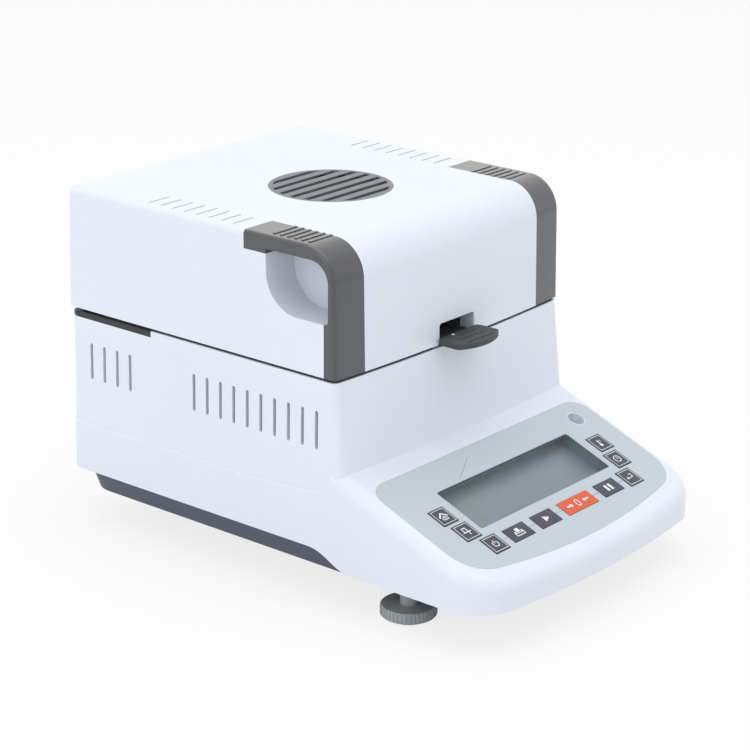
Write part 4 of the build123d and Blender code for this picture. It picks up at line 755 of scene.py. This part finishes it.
@dataclass
class KeyPanel:
    """Prints on the film and the keys, the display's mask with its painted shadow and the level's ring line."""

    finishes: Finishes
    small_half_width: float = 6.2
    small_half_length: float = 6.35
    frame_inset: float = 1.05
    frame_line: float = 0.34
    row_s: float = 81.4
    link_line: float = 0.32
    display_s: float = 52.2
    display_width: float = 120.0
    display_length: float = 33.6
    mask_depth: float = 0.49 * MM
    # The rear edge is wider than the others: painted shadow of the display's recess.
    mask_top_painted_shadow: float = 1.1
    mask_foot: float = 0.3
    mask_side: float = 0.5
    slash_foot: tuple[float, float] = (-36.5, -33.2)
    slash_head: tuple[float, float] = (-16.7, -22.1)
    slash_line: float = 0.3
    level_x: float = 78.4
    level_s: float = 28.8
    level_depth: float = 0.55 * MM
    level_ring_radius: float = 2.4
    level_ring_line: float = 0.25
    faces: tuple[KeyFace, ...] = (
        KeyFace("key_home", -72.8, 51.5, draw_home, True),
        KeyFace("key_menu", -70.4, 66.6, draw_menu, True),
        KeyFace("key_power", -63.1, 81.4, draw_power, True),
        KeyFace("key_print", -42.2, 81.4, draw_printer, False),
        KeyFace("key_start", -17.5, 81.4, draw_play, False),
        KeyFace("key_tare", 12.3, 81.4, draw_tare, False),
        KeyFace("key_stop", 42.2, 81.4, draw_pause, False),
        KeyFace("key_enter", 63.1, 81.4, draw_return, True),
        KeyFace("key_clock", 70.4, 66.6, draw_clock, True),
        KeyFace("key_temperature", 72.8, 51.5, draw_thermometer, True),
    )
    row_gaps: tuple[tuple[float, float], ...] = (
        (-56.9, -51.2), (-33.2, -26.5), (-8.5, -1.7), (26.3, 33.2), (51.2, 56.9),
    )

    def build(self) -> None:
        """Makes every print of the panel."""
        for face in self.faces:
            self.print_key(face)
        self.print_links()
        self.print_slash()
        self.mask_display_with_painted_shadow()
        self.fill_level()

    def print_key(self, face: KeyFace) -> None:
        """Draws a key's icon, and the white line round a small key.

        Args:
            face: the key and its icon.
        """
        place = panel_matrix(face.x * MM, face.s * MM, KEY_PROUD + PRINT_LIFT)
        art = FlatPrint(place)
        face.icon(art)
        if face.framed:
            art.box_line(self.small_half_width - self.frame_inset, self.small_half_length - self.frame_inset,
                         self.frame_line)
        finish_piece(art.work, face.name + "_icon", face.name + "_cap",
                     self.finishes.get(INK_WHITE))

    def print_links(self) -> None:
        """Draws the thin lines that link the keys of the front row."""
        art = FlatPrint(panel_matrix(0.0, self.row_s * MM, PRINT_LIFT))
        for start, end in self.row_gaps:
            art.bar((start, 0.0), (end, 0.0), self.link_line)
        finish_piece(art.work, "film_link_lines", Body.INSTRUMENT, self.finishes.get(INK_GREY))

    def print_slash(self) -> None:
        """Draws the thin slanted stroke over the display."""
        art = FlatPrint(panel_matrix(0.0, 0.0, PRINT_LIFT))
        art.bar(self.slash_foot, self.slash_head, self.slash_line)
        finish_piece(art.work, "film_slash_line", Body.INSTRUMENT, self.finishes.get(INK_GREY))

    def mask_display_with_painted_shadow(self) -> None:
        """Draws the dark edge of the display's window: a printed mask, its wide rear edge painted shadow of the
        recess.
        """
        art = FlatPrint(panel_matrix(0.0, self.display_s * MM, -self.mask_depth))
        half_width, half_length = self.display_width / 2, self.display_length / 2
        top_y = half_length - self.mask_top_painted_shadow / 2
        foot_y = -half_length + self.mask_foot / 2
        # The wide rear bar is painted shadow; the thin bars are the printed mask.
        art.bar((-half_width, top_y), (half_width, top_y), self.mask_top_painted_shadow)
        art.bar((-half_width, foot_y), (half_width, foot_y), self.mask_foot)
        for side in (-1, 1):
            x = side * (half_width - self.mask_side / 2)
            art.bar((x, -half_length), (x, half_length - self.mask_top_painted_shadow), self.mask_side)
        finish_piece(art.work, "display_mask_painted_shadow", Body.INSTRUMENT, self.finishes.get(INK_DARK_SHADOW))

    def fill_level(self) -> None:
        """Adds the ring line of the round level."""
        art = FlatPrint(panel_matrix(self.level_x * MM, self.level_s * MM, -self.level_depth))
        art.arc((0.0, 0.0), self.level_ring_radius, self.level_ring_line)
        finish_piece(art.work, "level_ring_line", Body.INSTRUMENT, self.finishes.get(INK_GREY))


@dataclass
class HandlerGrip:
    """Raised ridges and a pale dot on the pan handler's paddle."""

    finishes: Finishes
    top: float = 134.9 * MM
    ridge_y: tuple[float, ...] = (-54.8, -60.8, -66.8)
    ridge_half: float = 10.5
    ridge_width: float = 1.3
    ridge_height: float = 0.5
    ridge_bevel: float = 0.25 * MM
    dot_place: tuple[float, float] = (-5.7, -52.3)
    dot_foot_radius: float = 0.9 * MM
    dot_top_radius: float = 0.7 * MM
    dot_thickness: float = 0.3 * MM
    dot_rise: float = 0.1 * MM

    def build(self) -> None:
        """Makes the ridges and the dot."""
        work = bmesh.new()
        for y in self.ridge_y:
            made = bmesh.ops.create_cube(work, size=1.0)
            size = Matrix.Diagonal((2 * self.ridge_half * MM, self.ridge_width * MM,
                                    2 * self.ridge_height * MM, 1.0))
            place = Matrix.Translation((0.0, y * MM, self.top))
            bmesh.ops.transform(work, matrix=place @ size, verts=made["verts"])
        bmesh.ops.bevel(work, geom=list(work.edges), offset=self.ridge_bevel, segments=2, profile=0.5,
                        affect="EDGES", material=-1)
        finish_piece(work, "handler_ridges", Body.HANDLER, self.finishes.get(PADDLE), smooth=True)
        dot = bmesh.new()
        place = Matrix.Translation((self.dot_place[0] * MM, self.dot_place[1] * MM, self.top + self.dot_rise))
        bmesh.ops.create_cone(dot, cap_ends=True, segments=24, radius1=self.dot_foot_radius,
                              radius2=self.dot_top_radius, depth=self.dot_thickness, matrix=place)
        finish_piece(dot, "handler_dot", Body.HANDLER, self.finishes.get(INK_WHITE), smooth=True)


@dataclass
class GrilleShadeDisc:
    """Black disc under the slots of the lid's round grille: painted shade that darkens the slots."""

    finishes: Finishes
    radius: float = 34.6 * MM
    top: float = 200.05 * MM
    thickness: float = 0.5 * MM

    def build(self) -> None:
        """Makes the painted shade as a thin black disc."""
        work = bmesh.new()
        place = Matrix.Translation((0.0, CHAMBER_Y, self.top - self.thickness / 2))
        bmesh.ops.create_cone(work, cap_ends=True, segments=64, radius1=self.radius, radius2=self.radius,
                              depth=self.thickness, matrix=place)
        finish_piece(work, "grille_painted_shade_disc", Body.LID, self.finishes.get(BLACK), smooth=True)


@dataclass
class LampFilament:
    """The coiled wire inside the ring lamp."""

    finishes: Finishes
    ring_radius: float = 42.0 * MM
    height: float = 158.0 * MM
    wire_radius: float = 0.9 * MM

    def build(self) -> None:
        """Makes the filament as a thin ring."""
        work = bmesh.new()
        made = bmesh.ops.create_circle(work, segments=8, radius=self.wire_radius)
        stand = Matrix.Rotation(math.radians(90), 4, "X")
        place = Matrix.Translation((self.ring_radius, 0.0, 0.0))
        bmesh.ops.transform(work, matrix=place @ stand, verts=made["verts"])
        bmesh.ops.spin(work, geom=list(work.edges) + list(work.verts), cent=(0.0, 0.0, 0.0),
                       axis=(0.0, 0.0, 1.0), angle=math.tau, steps=96, use_merge=True)
        bmesh.ops.translate(work, verts=work.verts, vec=(0.0, CHAMBER_Y, self.height))
        finish_piece(work, "lamp_filament", Body.LID, self.finishes.get(STEEL), smooth=True)


@dataclass
class Studio:
    """Floor, backdrop light and the camera that stands where the photograph was taken."""

    camera_place: tuple[float, float, float] = (-1.0296, -0.84763, 0.56678)
    camera_azimuth: float = -50.25
    camera_elevation: float = 19.39
    camera_roll: float = 0.4
    lens: float = 117.94
    sensor_width: float = 36.0
    clip_start: float = 0.05
    floor_half: float = 4.0
    floor_white: float = 0.8
    room_strength: float = 0.77

    def build(self) -> None:
        """Makes the floor, the lights and the camera."""
        self.lay_floor()
        self.light_world()
        self.hang_lamp("top light", (0.0, 0.0, 1.9), (0.0, 0.0, 0.1), 2.4, 16.0)
        self.hang_lamp("side light", (-2.3, 0.2, 1.0), (0.0, 0.0, 0.1), 1.6, 6.5)
        self.set_camera()

    def lay_floor(self) -> None:
        """Lays a pale floor that shows white to the camera but keeps the shadow."""
        work = bmesh.new()
        bmesh.ops.create_grid(work, x_segments=1, y_segments=1, size=self.floor_half)
        mesh = bpy.data.meshes.new("floor")
        work.to_mesh(mesh)
        work.free()
        floor = bpy.data.objects.new("floor", mesh)
        bpy.context.scene.collection.objects.link(floor)
        material, shader = blank_material("floor white")
        shader.inputs["Base Color"].default_value = (0.9, 0.9, 0.9, 1.0)
        shader.inputs["Roughness"].default_value = 0.9
        nodes, links = material.node_tree.nodes, material.node_tree.links
        white = nodes.new("ShaderNodeEmission")
        keep = nodes.new("ShaderNodeMath")
        keep.operation = "MULTIPLY"
        keep.inputs[1].default_value = self.floor_white
        links.new(nodes.new("ShaderNodeLightPath").outputs["Is Camera Ray"], keep.inputs[0])
        mix = nodes.new("ShaderNodeMixShader")
        links.new(keep.outputs[0], mix.inputs["Fac"])
        links.new(shader.outputs[0], mix.inputs[1])
        links.new(white.outputs[0], mix.inputs[2])
        links.new(mix.outputs[0], nodes["Material Output"].inputs["Surface"])
        mesh.materials.append(material)

    def light_world(self) -> None:
        """Lights the room evenly, and shows white behind everything."""
        world = bpy.data.worlds.new("studio")
        bpy.context.scene.world = world
        world.use_nodes = True
        nodes, links = world.node_tree.nodes, world.node_tree.links
        room = nodes["Background"]
        room.inputs["Color"].default_value = (0.94, 0.97, 1.0, 1.0)
        room.inputs["Strength"].default_value = self.room_strength
        white = nodes.new("ShaderNodeBackground")
        white.inputs["Color"].default_value = (1.0, 1.0, 1.0, 1.0)
        white.inputs["Strength"].default_value = 1.0
        path = nodes.new("ShaderNodeLightPath")
        seen = nodes.new("ShaderNodeMath")
        seen.operation = "ADD"
        links.new(path.outputs["Is Camera Ray"], seen.inputs[0])
        links.new(path.outputs["Is Glossy Ray"], seen.inputs[1])
        also = nodes.new("ShaderNodeMath")
        also.operation = "ADD"
        also.use_clamp = True
        links.new(seen.outputs[0], also.inputs[0])
        links.new(path.outputs["Is Transmission Ray"], also.inputs[1])
        mix = nodes.new("ShaderNodeMixShader")
        links.new(also.outputs[0], mix.inputs["Fac"])
        links.new(room.outputs[0], mix.inputs[1])
        links.new(white.outputs[0], mix.inputs[2])
        links.new(mix.outputs[0], nodes["World Output"].inputs["Surface"])

    def hang_lamp(self, name: str, place: tuple[float, float, float], aim: tuple[float, float, float],
                  size: float, power: float) -> None:
        """Hangs a square soft light.

        Args:
            name: the light's name.
            place: where it hangs.
            aim: the point it faces.
            size: the side of its square.
            power: its power in watts.
        """
        lamp = bpy.data.lights.new(name, "AREA")
        lamp.size = size
        lamp.energy = power
        holder = bpy.data.objects.new(name, lamp)
        holder.location = place
        holder.rotation_euler = (Vector(aim) - Vector(place)).to_track_quat("-Z", "Y").to_euler()
        bpy.context.scene.collection.objects.link(holder)

    def set_camera(self) -> None:
        """Sets the camera at the place and angle of the photograph."""
        azimuth, elevation, roll = (math.radians(angle) for angle in
                                    (self.camera_azimuth, self.camera_elevation, self.camera_roll))
        back = Vector((math.sin(azimuth) * math.cos(elevation), -math.cos(azimuth) * math.cos(elevation),
                       math.sin(elevation)))
        right = Vector((0.0, 0.0, 1.0)).cross(back).normalized()
        up = back.cross(right)
        turned = right * math.cos(roll) + up * math.sin(roll)
        upright = up * math.cos(roll) - right * math.sin(roll)
        camera = bpy.data.cameras.new("camera")
        camera.lens = self.lens
        camera.sensor_width = self.sensor_width
        camera.clip_start = self.clip_start
        holder = bpy.data.objects.new("camera", camera)
        holder.matrix_world = Matrix((
            (turned.x, upright.x, back.x, self.camera_place[0]),
            (turned.y, upright.y, back.y, self.camera_place[1]),
            (turned.z, upright.z, back.z, self.camera_place[2]),
            (0.0, 0.0, 0.0, 1.0),
        ))
        bpy.context.scene.collection.objects.link(holder)
        bpy.context.scene.camera = holder
        bpy.context.scene.view_settings.view_transform = "Standard"


def main() -> None:
    """Dresses the instrument and builds its prints with the display's painted shadow, its trim, the painted
    shade under the grille and the studio.
    """
    logging.basicConfig(level=logging.INFO, format="%(message)s")
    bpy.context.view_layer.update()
    finishes = Finishes()
    dress_nodes(finishes)
    KeyPanel(finishes).build()
    HandlerGrip(finishes).build()
    LampFilament(finishes).build()
    # A black disc under the grille: painted shade.
    GrilleShadeDisc(finishes).build()
    Studio().build()


if __name__ == "__main__":
    main()
